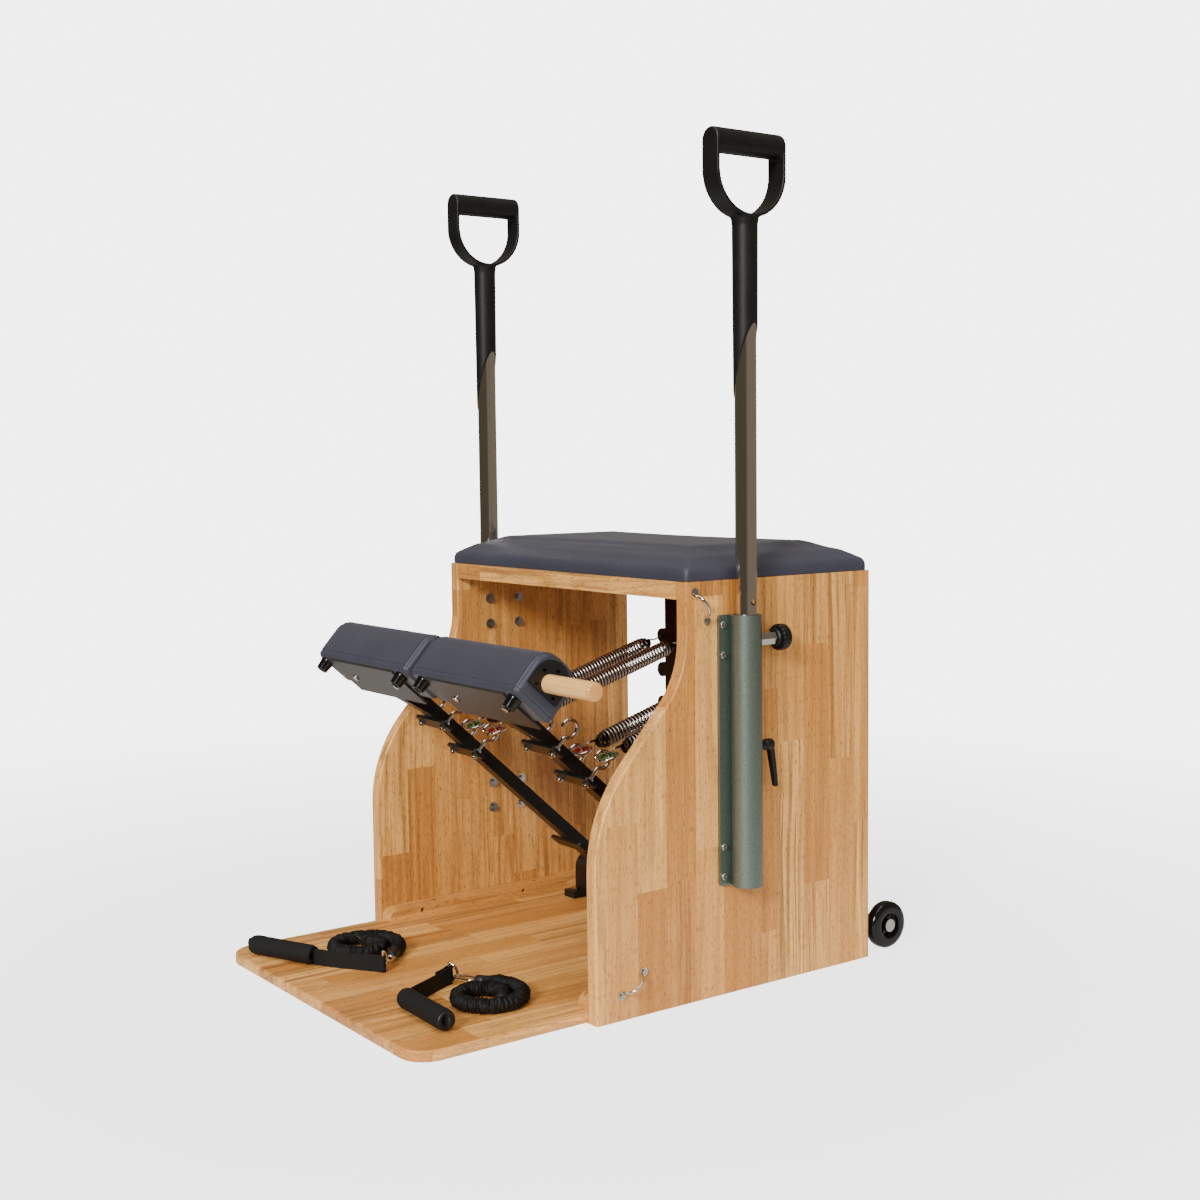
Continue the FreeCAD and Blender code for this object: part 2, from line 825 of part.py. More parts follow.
def pedal_arm():
    start = pad_width + soft_clearance
    low = arm_lift
    high = arm_lift + arm_depth
    tube = box(vec(arm_x - arm_width / 2, start, low), vec(arm_x + arm_width / 2, arm_reach, high))
    hollow = box(vec(arm_x - arm_width / 2 + arm_wall, start - cut_overrun, low + arm_wall),
                 vec(arm_x + arm_width / 2 - arm_wall, arm_reach, high - arm_wall))
    gusset = polygon_prism([
        vec(arm_x - arm_width / 2, start, 0),
        vec(arm_x - arm_width / 2, pad_width + plate_tail, 0),
        vec(arm_x - arm_width / 2, pad_width + arm_gusset_length, low),
        vec(arm_x - arm_width / 2, start, low)], X_AXIS * arm_width)
    hub = rod(hub_diameter / 2, vec(arm_x - hub_length / 2, arm_reach, arm_middle),
              vec(arm_x + hub_length / 2, arm_reach, arm_middle))
    plate_reaches = (lower_hook_reach, upper_hook_reach, foot_plate_reach)
    plates = [cross_plate(arm_reach - reach) for reach in plate_reaches]
    weldment = fused([tube.cut(hollow), gusset, hub] + plates)
    bore = rod(axle_diameter / 2 + running_clearance,
               vec(arm_x - hub_length, arm_reach, arm_middle), vec(arm_x + hub_length, arm_reach, arm_middle))
    weldment = weldment.cut(bore)
    for x, along in hook_places():
        weldment = weldment.cut(rod(hook_wire / 2, vec(x, along, 0), vec(x, along, arm_lift + cut_overrun)))
    return pedal_placed(weldment)


def pad_outline():
    corner = pad_corner_radius
    lean_share = 0.29
    lean = corner * lean_share
    crest_drop = (pad_height - pad_shoulder) / 4
    crown_edge = pad_height - crest_drop
    shoulder = crown_edge - corner
    low_front = vec(0, 0, 0)
    low_rear = vec(0, pad_width, 0)
    front = vec(0, 0, shoulder)
    front_corner = vec(0, lean, crown_edge - lean)
    front_crown = vec(0, corner, crown_edge)
    crest = vec(0, pad_width / 2, pad_height)
    rear_crown = vec(0, pad_width - corner, crown_edge)
    rear_corner = vec(0, pad_width - lean, crown_edge - lean)
    rear = vec(0, pad_width, shoulder)
    return [
        line(low_front, front),
        arc(front, front_corner, front_crown),
        arc(front_crown, crest, rear_crown),
        arc(rear_crown, rear_corner, rear),
        line(rear, low_rear),
        line(low_rear, low_front),
    ]


def pedal_pad():
    pad = prism(pad_outline(), X_AXIS * pad_length)
    ends = [edge for edge in pad.Edges
            if edge.BoundBox.XLength < pad_end_round and edge.BoundBox.ZMax > pad_end_round]
    pad = pad.makeFillet(pad_end_round, ends)
    pad = moved(pad, pad_inner_end, 0, 0)
    bore = rod(dowel_diameter / 2 + dowel_clearance,
               vec(pad_inner_end - cut_overrun, dowel_front, dowel_rise),
               vec(pad_outer_end + cut_overrun, dowel_front, dowel_rise))
    return pedal_placed(pad.cut(bore))


def pedal_plate():
    plate = box(vec(arm_x - plate_width / 2, plate_front, -plate_thickness),
                vec(arm_x + plate_width / 2, pad_width + plate_tail, 0))
    return pedal_placed(plate)


def pedal_bumpers():
    pieces = []
    for side in (-1, 1):
        x = arm_x + side * bumper_spacing / 2
        pieces.append(pedal_placed(cone(bumper_diameter / 2, bumper_tip_diameter / 2, vec(x, bumper_front, 0),
                                        vec(x, bumper_front, -bumper_length))))
    return pieces


def pedal_screws():
    pieces = []
    for side in (-1, 1):
        x = arm_x + side * plate_screw_spacing / 2
        seat = vec(x, plate_screw_front, -plate_thickness)
        head = rod(screw_head_diameter / 2, seat, seat.sub(Z_AXIS * screw_head_height))
        rim = [edge for edge in head.Edges if edge.BoundBox.ZMax < seat.z - screw_head_height / 2]
        pieces.append(pedal_placed(head.makeFillet(screw_head_height / 2, rim)))
    return pieces


def dowel_axis(x):
    return vec(x, dowel_front, dowel_rise)


def dowel_collar():
    half = collar_width / 2
    low = dowel_rise - collar_drop
    arch_start = dowel_rise + collar_drop / 4
    low_front = vec(pad_outer_end, dowel_front - half, low)
    low_rear = vec(pad_outer_end, dowel_front + half, low)
    arch_front = vec(pad_outer_end, dowel_front - half, arch_start)
    arch_rear = vec(pad_outer_end, dowel_front + half, arch_start)
    arch_top = vec(pad_outer_end, dowel_front, arch_start + half)
    edges = [
        line(low_front, arch_front),
        arc(arch_front, arch_top, arch_rear),
        line(arch_rear, low_rear),
        line(low_rear, low_front),
    ]
    plate = prism(edges, X_AXIS * collar_thickness)
    bore = rod(dowel_diameter / 2 + dowel_clearance, dowel_axis(pad_outer_end - cut_overrun),
               dowel_axis(pad_outer_end + collar_thickness + cut_overrun))
    return pedal_placed(plate.cut(bore))


def collar_screws():
    half = (dowel_diameter + collar_width) / 4
    pieces = []
    for angle in (25, 90, 155, 215, 325):
        spot = math.radians(angle)
        face = vec(pad_outer_end + collar_thickness, dowel_front + half * math.cos(spot),
                   dowel_rise + half * math.sin(spot))
        head = rod(collar_screw_diameter / 2, face, face.add(X_AXIS * collar_screw_head))
        pieces.append(pedal_placed(head))
    return pieces


def dowel():
    start = -pad_outer_end + pad_end_round
    end = pad_outer_end + dowel_outside
    stick = rod(dowel_diameter / 2, dowel_axis(start), dowel_axis(end))
    rims = [edge for edge in stick.Edges if edge.BoundBox.XLength < dowel_round]
    return pedal_placed(stick.makeFillet(dowel_round, rims))


# Spring hooks on the arms


def hook_bolts():
    pieces = []
    opening = math.radians(hook_opening_angle)
    for x, along in hook_places():
        tail = vec(x, along, arm_lift - cross_plate_thickness - hook_nut_height - hook_tail)
        centre = vec(x, along, arm_lift + hook_loop_rise)
        neck = centre.sub(Z_AXIS * (hook_loop_radius + hook_wire))
        stations = [(tail, Z_AXIS), (neck, Z_AXIS)]
        for share in (0.0, 0.33, 0.66, 1.0):
            angle = math.radians(-30) + share * (math.pi + opening - math.radians(60))
            spot = centre.add(vec(0, hook_loop_radius * math.cos(angle), hook_loop_radius * math.sin(angle)))
            stations.append((spot, vec(0, -math.sin(angle), math.cos(angle))))
        edges = [line(tail, neck)] + path_edges(stations[1:])
        pieces.append(pedal_placed(swept(edges, hook_wire / 2)))
    return pieces


def hook_nuts():
    pieces = []
    for x, along in hook_places():
        for base, way in ((arm_lift, 1), (arm_lift - cross_plate_thickness, -1)):
            start = vec(x, along, base)
            nut = hexagon(hook_nut_diameter / 2, start, Z_AXIS * (way * hook_nut_height))
            hole = rod(hook_wire / 2, vec(x, along, base - way * cut_overrun),
                       vec(x, along, base + way * (hook_nut_height + cut_overrun)))
            pieces.append(pedal_placed(nut.cut(hole)))
    return pieces


# Springs are drawn along X from the arm's hook to the rear post


def spring_ends():
    front = pedal_point(0, arm_reach - lower_hook_reach, arm_lift + hook_loop_rise)
    rear = vec(0, post_plate_y, tab_height)
    return front, rear


def spring_placed(shape, x):
    front, rear = spring_ends()
    way = rear.sub(front)
    tilt = math.degrees(math.atan2(way.z, way.y))
    turn = FreeCAD.Rotation(X_AXIS, tilt).multiply(FreeCAD.Rotation(Z_AXIS, 90))
    copy = shape.copy()
    copy.Placement = FreeCAD.Placement(vec(x, front.y, front.z), turn).multiply(copy.Placement)
    return copy


def spring_places():
    return [side * arm_x + step * hook_spacing / 2 for side in (-1, 1) for step in (-1, 1)]


def insert_bore_radius():
    return ring_radius - ring_wire / 2 - insert_clearance - insert_wall


def spring_edges():
    front, rear = spring_ends()
    length = rear.sub(front).Length
    inner = spring_hook_radius
    hook_middle = ring_offset + insert_bore_radius() - spring_wire / 2 - spring_hook_gap + inner
    stations = []
    for angle in (-50, -140, -230, -270):
        turn = math.radians(angle)
        spot = vec(hook_middle + inner * math.cos(turn), 0, inner * math.sin(turn))
        stations.append((spot, vec(math.sin(turn), 0, -math.cos(turn))))
    coil_start = hook_middle + spring_lead
    coil_end = length - spring_rear_wire
    coil_radius = (spring_diameter - spring_wire) / 2
    steps = 2 * spring_curls
    pitch = (coil_end - coil_start) / spring_curls

    def coil_radius_at(turns):
        near_end = min(turns, spring_curls - turns) / spring_cone_curls
        share = min(1.0, near_end)
        smooth = share * share * (3 - 2 * share)
        return spring_tip_radius + (coil_radius - spring_tip_radius) * smooth

    for index in range(steps + 1):
        turns = index / 2
        angle = math.pi / 2 + 2 * math.pi * turns
        radius = coil_radius_at(turns)
        spot = vec(coil_start + pitch * turns, radius * math.cos(angle), radius * math.sin(angle))
        way = unit(pitch / (2 * math.pi), -radius * math.sin(angle), radius * math.cos(angle))
        stations.append((spot, way))
    straight = vec(coil_end + spring_lead, 0, 0)
    stations.append((straight, X_AXIS))
    edges = path_edges(stations)
    behind = vec(length + spring_post_thickness, 0, 0)
    edges.append(line(straight, behind))
    tail = vec(behind.x + spring_wire * 2, 0, spring_wire * 2)
    edges.append(arc_edge(behind, X_AXIS, tail))
    edges.append(line(tail, tail.add(Z_AXIS * (spring_tail_rise - spring_wire * 2))))
    return edges


def spring():
    edges = spring_edges()
    solid = swept(edges, spring_wire / 2)
    print("spring least gap to itself", round(least_self_gap(edges, spring_wire, 6), 2))
    length = sum(edge.Length for edge in edges)
    section = math.pi * spring_wire * spring_wire / 4
    print("spring volume over section times length", round(solid.Volume / (section * length), 4))
    return solid


def spring_ring():
    return Part.makeTorus(ring_radius, ring_wire / 2, vec(ring_offset, 0, 0), Z_AXIS)


def ring_insert():
    half = insert_height / 2
    middle = ring_offset
    lining = rod(insert_bore_radius() + insert_wall, vec(middle, 0, -half), vec(middle, 0, half))
    bore = rod(insert_bore_radius(), vec(middle, 0, -insert_height), vec(middle, 0, insert_height))
    return lining.cut(bore)


def spring_post():
    half = spring_post_thickness / 2
    low = vec(arm_x - spring_post_width / 2, post_plate_y - half, base_top)
    high = vec(arm_x + spring_post_width / 2, post_plate_y + half, panel_height - rail_height)
    plate = box(low, high)
    tabs = []
    slots = []
    for index in range(tab_count):
        z = tab_height - index * tab_pitch
        for side in (-1, 1):
            x = arm_x + side * hook_spacing / 2
            start = vec(x, post_plate_y - half, z)
            end = vec(x, post_plate_y + half, z)
            tabs.append(rod(tab_radius, start, end))
            slots.append(rod(tab_slot / 2, start.sub(Y_AXIS * cut_overrun), end.add(Y_AXIS * cut_overrun)))
    return fused([plate] + tabs).cut(group(slots))


# Axle and pillow blocks


def pedal_axle():
    reach = block_x + block_width / 2
    return rod(axle_diameter / 2, vec(-reach, axle_y, axle_z), vec(reach, axle_y, axle_z))


def block_places():
    return [-block_x, 0, block_x]


def block_bolt_rods():
    rods = []
    for x in block_places():
        for side in (-1, 1):
            y = axle_y + side * block_bolt_spacing / 2
            rods.append(rod(block_bolt_diameter / 2, vec(x, y, base_top - block_bolt_depth),
                            vec(x, y, base_top + block_foot_height)))
    return rods


def axle_blocks():
    pieces = []
    for x in block_places():
        foot = box(vec(x - block_width / 2, axle_y - block_length / 2, base_top),
                   vec(x + block_width / 2, axle_y + block_length / 2, base_top + block_foot_height))
        housing = rod(block_housing_diameter / 2, vec(x - block_width / 2, axle_y, axle_z),
                      vec(x + block_width / 2, axle_y, axle_z))
        web = box(vec(x - block_width / 2, axle_y - block_housing_diameter / 2, base_top),
                  vec(x + block_width / 2, axle_y + block_housing_diameter / 2, axle_z))
        block = fused([foot, housing, web])
        block = block.cut(rod(axle_diameter / 2, vec(x - block_width, axle_y, axle_z),
                              vec(x + block_width, axle_y, axle_z)))
        pieces.append(block.cut(group(block_bolt_rods())))
    return pieces


def block_bolts():
    pieces = []
    for shank in block_bolt_rods():
        bounds = shank.BoundBox
        seat = vec((bounds.XMin + bounds.XMax) / 2, (bounds.YMin + bounds.YMax) / 2, bounds.ZMax)
        head = hexagon(block_bolt_head / 2, seat, Z_AXIS * nut_height)
        pieces.append(shank.fuse(head).removeSplitter())
    return pieces


# Transport wheels


def wheel_middle_x():
    return inner_face + wheel_side_gap + wheel_width / 2


def wheel_axis(x):
    return vec(x, base_rear + wheel_overhang, wheel_axis_height)


def wheel():
    middle = wheel_middle_x()
    inner = wheel_axis(middle - wheel_width / 2)
    outer = wheel_axis(middle + wheel_width / 2)
    disc = rod(wheel_diameter / 2, inner, outer)
    rims = [edge for edge in disc.Edges if edge.BoundBox.XLength < wheel_recess]
    disc = disc.makeFillet(wheel_tread_round, rims)
    dish_radius = wheel_diameter / 2 - wheel_rim_width
    for face, way, inset in ((inner, 1, -cut_overrun), (outer, -1, wheel_hub_inset)):
        start = face.sub(X_AXIS * (way * cut_overrun))
        end = face.add(X_AXIS * (way * wheel_recess))
        hub = rod(wheel_bolt_head / 2, face.add(X_AXIS * (way * inset)), end)
        disc = disc.cut(rod(dish_radius, start, end).cut(hub))
    bore = rod(wheel_bolt_diameter / 2 + running_clearance, wheel_axis(middle - wheel_width),
               wheel_axis(middle + wheel_width))
    return disc.cut(bore)


def wheel_bracket_screw_places():
    z = wheel_axis_height
    return [vec(inner_face, base_rear - bracket_grip * share, z) for share in (0.3, 0.75)]


def wheel_bracket_screw_rods():
    rods = []
    for place in wheel_bracket_screw_places():
        seat = place.sub(X_AXIS * bracket_thickness)
        rods.append(rod(eye_screw_diameter / 2, seat, place.add(X_AXIS * eye_screw_length)))
    return rods


def wheel_bracket():
    axis = wheel_axis(inner_face)
    low_x = inner_face - bracket_thickness
    plate = box(vec(low_x, base_rear - bracket_grip, axis.z - bracket_width / 2 + cleat_height / 4),
                vec(inner_face, axis.y, axis.z + bracket_width / 2))
    nose = rod(bracket_width / 2, vec(low_x, axis.y, axis.z), axis)
    strip = plate.fuse(nose).removeSplitter()
    hole_end = wheel_axis(inner_face + cut_overrun)
    bolt_hole = rod(wheel_bolt_diameter / 2, wheel_axis(low_x - cut_overrun), hole_end)
    return strip.cut(bolt_hole).cut(cleat()).cut(group(wheel_bracket_screw_rods()))


def wheel_bolt():
    inner = wheel_axis(inner_face - bracket_thickness)
    outer = wheel_axis(wheel_middle_x() + wheel_width / 2 - wheel_hub_inset + wheel_side_gap)
    shank = rod(wheel_bolt_diameter / 2, inner.sub(X_AXIS * wheel_bolt_head_height), outer)
    head = rod(wheel_bolt_head / 2, outer, outer.add(X_AXIS * wheel_bolt_head_height))
    nut = hexagon(wheel_bolt_head / 2, inner, X_AXIS * -wheel_bolt_head_height)
    spacer = rod(wheel_bolt_diameter, wheel_axis(inner_face), wheel_axis(inner_face + wheel_side_gap / 2))
    return fused([shank, head, nut, spacer])


# Wire eyes


def eye_stations():
    upper = vec(outer_face, base_rear - eye_upper_setback, panel_height - eye_upper_drop)
    lower = vec(outer_face, base_rear - eye_lower_setback, eye_lower_height)
    return [(upper, eye_upper_angle), (lower, eye_lower_angle)]


def eye_ends(centre, angle):
    turn = math.radians(angle)
    half = vec(0, math.cos(turn), math.sin(turn)).multiply(eye_span / 2)
    return centre.sub(half), centre.add(half)


def eye_screw_rods():
    rods = []
    for centre, angle in eye_stations():
        for end in eye_ends(centre, angle):
            tip = end.sub(X_AXIS * eye_screw_length)
            rods.append(rod(eye_screw_diameter / 2, tip, end.add(X_AXIS * eye_pad_thickness)))
    return rods


def wire_eye(centre, angle):
    first, second = eye_ends(centre, angle)
    along = second.sub(first).normalize()
    pads = [rod(eye_pad_diameter / 2, end, end.add(X_AXIS * eye_pad_thickness)) for end in (first, second)]
    lift = X_AXIS * (eye_pad_thickness / 2)
    start = first.add(along * (eye_pad_diameter / 2)).add(lift)
    finish = second.sub(along * (eye_pad_diameter / 2)).add(lift)
    crest = centre.add(X_AXIS * (eye_rise + eye_pad_thickness))
    bow = swept([arc(start, crest, finish)], eye_wire / 2)
    outside = box(vec(outer_face, centre.y - eye_span, centre.z - eye_span),
                  vec(outer_face + eye_span, centre.y + eye_span, centre.z + eye_span))
    eye = fused(pads + [bow.common(outside)])
    return eye.cut(group(eye_screw_rods()))


def wire_eyes():
    return [wire_eye(centre, angle) for centre, angle in eye_stations()]


def eye_screws():
    pieces = []
    rods = eye_screw_rods()
    places = [end for centre, angle in eye_stations() for end in eye_ends(centre, angle)]
    for shank, end in zip(rods, places):
        seat = end.add(X_AXIS * eye_pad_thickness)
        head = rod(eye_screw_head_diameter / 2, seat, seat.add(X_AXIS * eye_screw_head_height))
        pieces.append(shank.fuse(head).removeSplitter())
    return pieces


def bracket_screws():
    pieces = []
    for place, shank in zip(wheel_bracket_screw_places(), wheel_bracket_screw_rods()):
        seat = place.sub(X_AXIS * bracket_thickness)
        head = rod(eye_screw_head_diameter / 2, seat, seat.sub(X_AXIS * eye_screw_head_height))
        pieces.append(shank.fuse(head).removeSplitter())
    return pieces


# Bungee sets: coil, crimps, link, D ring, strap and grip


def bungee_frame(coil_place, start_angle, turn):
    spot = math.radians(start_angle)
    centre = vec(coil_place[0], coil_place[1], base_top + contact_gap + cord_diameter / 2)
    outward = vec(math.cos(spot), math.sin(spot), 0)
    heading = vec(-turn * math.sin(spot), turn * math.cos(spot), 0)
    coil_start = centre.add(outward * cord_loop_radius)
    return centre, coil_start, heading


def bungee_cord_edges(coil_place, start_angle, turn):
    centre, coil_start, heading = bungee_frame(coil_place, start_angle, turn)
    lead = coil_start.sub(heading * cord_diameter)
    quarters = math.ceil(4 * cord_loops)
    stations = []
    for index in range(quarters + 1):
        turned = 2 * math.pi * cord_loops * index / quarters
        radius = cord_loop_radius - cord_step * turned / (2 * math.pi)
        angle = math.radians(start_angle) + turn * turned
        spot = centre.add(vec(radius * math.cos(angle), radius * math.sin(angle), 0))
        inward = cord_step / (2 * math.pi)
        way = unit(-turn * radius * math.sin(angle) - inward * math.cos(angle),
                   turn * radius * math.cos(angle) - inward * math.sin(angle), 0)
        stations.append((spot, way if index else heading))
    end, end_way = stations[-1]
    end_way = FreeCAD.Rotation(Z_AXIS, turn * cord_end_turn).multVec(end_way)
    stations[-1] = (end, end_way)
    return [line(lead, coil_start)] + path_edges(stations) + [line(end, end.add(end_way * cord_diameter))]


def bungee_cord(coil_place, start_angle, turn):
    edges = bungee_cord_edges(coil_place, start_angle, turn)
    cord = swept(edges, cord_diameter / 2)
    print("cord length", round(sum(edge.Length for edge in edges), 1),
          "least gap to itself", round(least_self_gap(edges, cord_diameter, 12), 2))
    return cord


def bungee_crimps(coil_place, start_angle, turn):
    edges = bungee_cord_edges(coil_place, start_angle, turn)
    start = edges[0].valueAt(edges[0].FirstParameter)
    heading = edges[0].tangentAt(edges[0].FirstParameter)
    end = edges[-1].valueAt(edges[-1].LastParameter)
    end_way = edges[-1].tangentAt(edges[-1].LastParameter)
    return [rod(crimp_diameter / 2, start.sub(heading * crimp_length), start),
            rod(crimp_diameter / 2, end, end.add(end_way * end_cap_length))]


def bungee_link_axis(coil_place, start_angle, turn):
    centre, coil_start, heading = bungee_frame(coil_place, start_angle, turn)
    crimp_face = coil_start.sub(heading * (cord_diameter + crimp_length + contact_gap))
    far_end = crimp_face.sub(heading * (link_wire / 2))
    near_end = far_end.sub(heading * (link_length + 2 * link_radius))
    return near_end, far_end, heading


def bungee_link(coil_place, start_angle, turn):
    near_end, far_end, heading = bungee_link_axis(coil_place, start_angle, turn)
    across = vec(-heading.y, heading.x, 0) * link_radius
    near = near_end.add(heading * link_radius)
    far = far_end.sub(heading * link_radius)
    edges = [
        line(near.add(across), far.add(across)),
        arc(far.add(across), far_end, far.sub(across)),
        line(far.sub(across), near.sub(across)),
        arc(near.sub(across), near_end, near.add(across)),
    ]
    return swept(edges, link_wire / 2)


def bungee_d_axis(coil_place, start_angle, turn):
    near_end, far_end, heading = bungee_link_axis(coil_place, start_angle, turn)
    return near_end.sub(heading * link_offset), heading


def bungee_d_ring(coil_place, start_angle, turn):
    bar, heading = bungee_d_axis(coil_place, start_angle, turn)
    low = bar.sub(Z_AXIS * d_ring_radius)
    high = bar.add(Z_AXIS * d_ring_radius)
    lift = Z_AXIS * (base_top + contact_gap + d_ring_radius + d_ring_wire / 2 - bar.z)
    bow = swept([arc(high, bar.add(heading * d_ring_radius), low)], d_ring_wire / 2)
    overhang = Z_AXIS * (d_ring_wire / 4)
    ring = bow.fuse(rod(d_ring_wire / 2, low.sub(overhang), high.add(overhang))).removeSplitter()
    ring.translate(lift)
    return ring


def bungee_strap(coil_place, start_angle, turn, grip_place):
    bar, heading = bungee_d_axis(coil_place, start_angle, turn)
    end = vec(grip_place[0], grip_place[1], base_top + contact_gap)
    start = vec(bar.x, bar.y, base_top + contact_gap)
    way = end.sub(start).normalize()
    start = start.add(way * (d_ring_wire / 2 + contact_gap))
    across = vec(-way.y, way.x, 0) * (strap_thickness / 2)
    points = [start.add(across), end.add(across), end.sub(across), start.sub(across)]
    return polygon_prism(points, Z_AXIS * strap_height)


def bungee_grip(grip_place, grip_angle):
    turn = math.radians(grip_angle)
    way = vec(math.cos(turn), math.sin(turn), 0)
    start = vec(grip_place[0], grip_place[1], base_top + contact_gap + grip_diameter / 2)
    start = start.add(way * (strap_thickness + contact_gap))
    end = start.add(way * grip_length)
    return rod(grip_diameter / 2, start, end)


left_set = (left_coil_place, left_coil_start_angle, 1)
right_set = (right_coil_place, right_coil_start_angle, -1)


# Every piece by its name


def wood_screws():
    right = cleat_screws() + eye_screws() + bracket_screws()
    return group(right + [mirrored(screw) for screw in right] + block_bolts())


def paired(pieces):
    return group(pieces + [mirrored(piece) for piece in pieces])


def build():
    panel = side_panel()
    sleeve_right = sleeve()
    post_right = post()
    handle_right = handle()
    plunger_right = plunger()
    lever_right = clamp_lever()
    wheel_right = wheel()
    arm_right = pedal_arm()
    plate_right = pedal_plate()
    pad_right = pedal_pad()
    bumpers_right = group(pedal_bumpers())
    screws_right = pedal_screws()
    hooks_right = group(hook_bolts())
    nuts_right = group(hook_nuts())
    coil = spring()
    springs = [spring_placed(coil, x) for x in spring_places()]
    inserts = [spring_placed(ring_insert(), x) for x in spring_places()]
    return {
        "side_panel_left": mirrored(panel),
        "side_panel_right": panel,
        "base_board": base_board(),
        "base_cleats": both_sides(cleat()),
        "wood_screws": wood_screws(),
        "front_rail": rail(panel_top_front),
        "rear_rail": rail(base_rear - rail_thickness),
        "seat_board": seat_board(),
        "seat_cushion": seat_cushion(),
        "sleeve_left": mirrored(sleeve_right),
        "sleeve_right": sleeve_right,
        "sleeve_bolts": paired(sleeve_bolts()),
        "sleeve_nuts": paired(sleeve_nuts()),
        "post_bushes": paired(post_bushes()),
        "plunger_bodies": both_sides(plunger_body()),
        "post_left": mirrored(post_right),
        "post_right": post_right,
        "handle_left": handle_right.translated(X_AXIS * (-2 * sleeve_x)),
        "handle_right": handle_right,
        "plunger_left": mirrored(plunger_right),
        "plunger_right": plunger_right,
        "clamp_lever_left": mirrored(lever_right),
        "clamp_lever_right": lever_right,
        "pedal_axle": pedal_axle(),
        "axle_blocks": group(axle_blocks()),
        "pedal_arm_left": mirrored(arm_right),
        "pedal_arm_right": arm_right,
        "pedal_plate_left": mirrored(plate_right),
        "pedal_plate_right": plate_right,
        "pedal_pad_left": mirrored(pad_right),
        "pedal_pad_right": pad_right,
        "pedal_bumpers_left": mirrored(bumpers_right),
        "pedal_bumpers_right": bumpers_right,
        "pedal_screws_left": mirrored(group(screws_right)),
        "pedal_screws_right": group(screws_right + collar_screws()),
        "hook_bolts_left": mirrored(hooks_right),
        "hook_bolts_right": hooks_right,
        "hook_nuts_left": mirrored(nuts_right),
        "hook_nuts_right": nuts_right,
        "dowel_collar": dowel_collar(),
        "dowel": dowel(),
        "springs_left": group(springs[:2]),
        "springs_right": group(springs[2:]),
        "spring_rings": group([spring_placed(spring_ring(), x) for x in spring_places()]),
        "ring_inserts_green": group([inserts[0], inserts[3]]),
        "ring_inserts_red": group([inserts[1], inserts[2]]),
        "spring_posts": both_sides(spring_post()),
        "wheel_left": mirrored(wheel_right),
        "wheel_right": wheel_right,
        "wheel_brackets": both_sides(wheel_bracket()),
        "wheel_bolts": both_sides(wheel_bolt()),
        "wire_eyes": paired(wire_eyes()),
        "bungee_cord_left": bungee_cord(*left_set),
        "bungee_cord_right": bungee_cord(*right_set),
        "bungee_crimps": group(bungee_crimps(*left_set) + bungee_crimps(*right_set)),
        "bungee_links": group([bungee_link(*left_set), bungee_link(*right_set)]),
        "bungee_d_rings": group([bungee_d_ring(*left_set), bungee_d_ring(*right_set)]),
        "bungee_straps": group([bungee_strap(*left_set, left_grip_place),
                                bungee_strap(*right_set, right_grip_place)]),
        "bungee_grips": group([bungee_grip(left_grip_place, left_grip_angle),
                               bungee_grip(right_grip_place, right_grip_angle)]),
    }


os.makedirs("parts", exist_ok=True)
for node, shape in build().items():
    shape.exportStep(os.path.join("parts", node + ".step"))
    print(node, len(shape.Solids), "solids", shape.isValid(), round(shape.Volume / 1000, 2), "cm3")
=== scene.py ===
import json
import math

import bmesh
import bpy
from mathutils import Matrix, Vector, kdtree, noise


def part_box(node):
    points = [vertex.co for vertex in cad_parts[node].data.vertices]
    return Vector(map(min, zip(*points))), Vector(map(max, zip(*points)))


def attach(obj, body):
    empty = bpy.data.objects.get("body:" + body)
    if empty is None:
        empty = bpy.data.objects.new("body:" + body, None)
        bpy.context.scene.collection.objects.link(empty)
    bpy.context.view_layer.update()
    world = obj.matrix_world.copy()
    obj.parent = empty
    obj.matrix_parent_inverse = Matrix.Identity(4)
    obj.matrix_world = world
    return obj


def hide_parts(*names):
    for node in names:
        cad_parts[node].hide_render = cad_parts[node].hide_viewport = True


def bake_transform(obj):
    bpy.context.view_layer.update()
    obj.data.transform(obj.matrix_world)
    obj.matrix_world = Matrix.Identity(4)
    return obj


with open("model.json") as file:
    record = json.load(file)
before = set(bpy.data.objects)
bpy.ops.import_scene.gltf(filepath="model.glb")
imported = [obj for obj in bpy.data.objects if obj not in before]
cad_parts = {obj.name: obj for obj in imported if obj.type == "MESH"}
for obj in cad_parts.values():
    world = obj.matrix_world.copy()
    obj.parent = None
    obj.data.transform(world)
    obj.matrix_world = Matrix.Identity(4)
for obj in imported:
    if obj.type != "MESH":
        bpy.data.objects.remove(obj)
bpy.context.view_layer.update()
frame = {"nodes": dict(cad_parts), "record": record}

bl_info = {
    "name": "Pilates chair",
    "version": (1, 0, 0),
    "blender": (4, 5, 0),
    "location": "View3D > Sidebar > Chair",
    "description": "Upholstery, springs, bungee sets, fittings and finishes of a pilates chair",
    "category": "Add Mesh",
}

SIDES = (("left", -1), ("right", 1))
UP = Vector((0, 0, 1))
FULL_TURN = 2 * math.pi


def middle(node):
    low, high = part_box(node)
    return (low + high) / 2


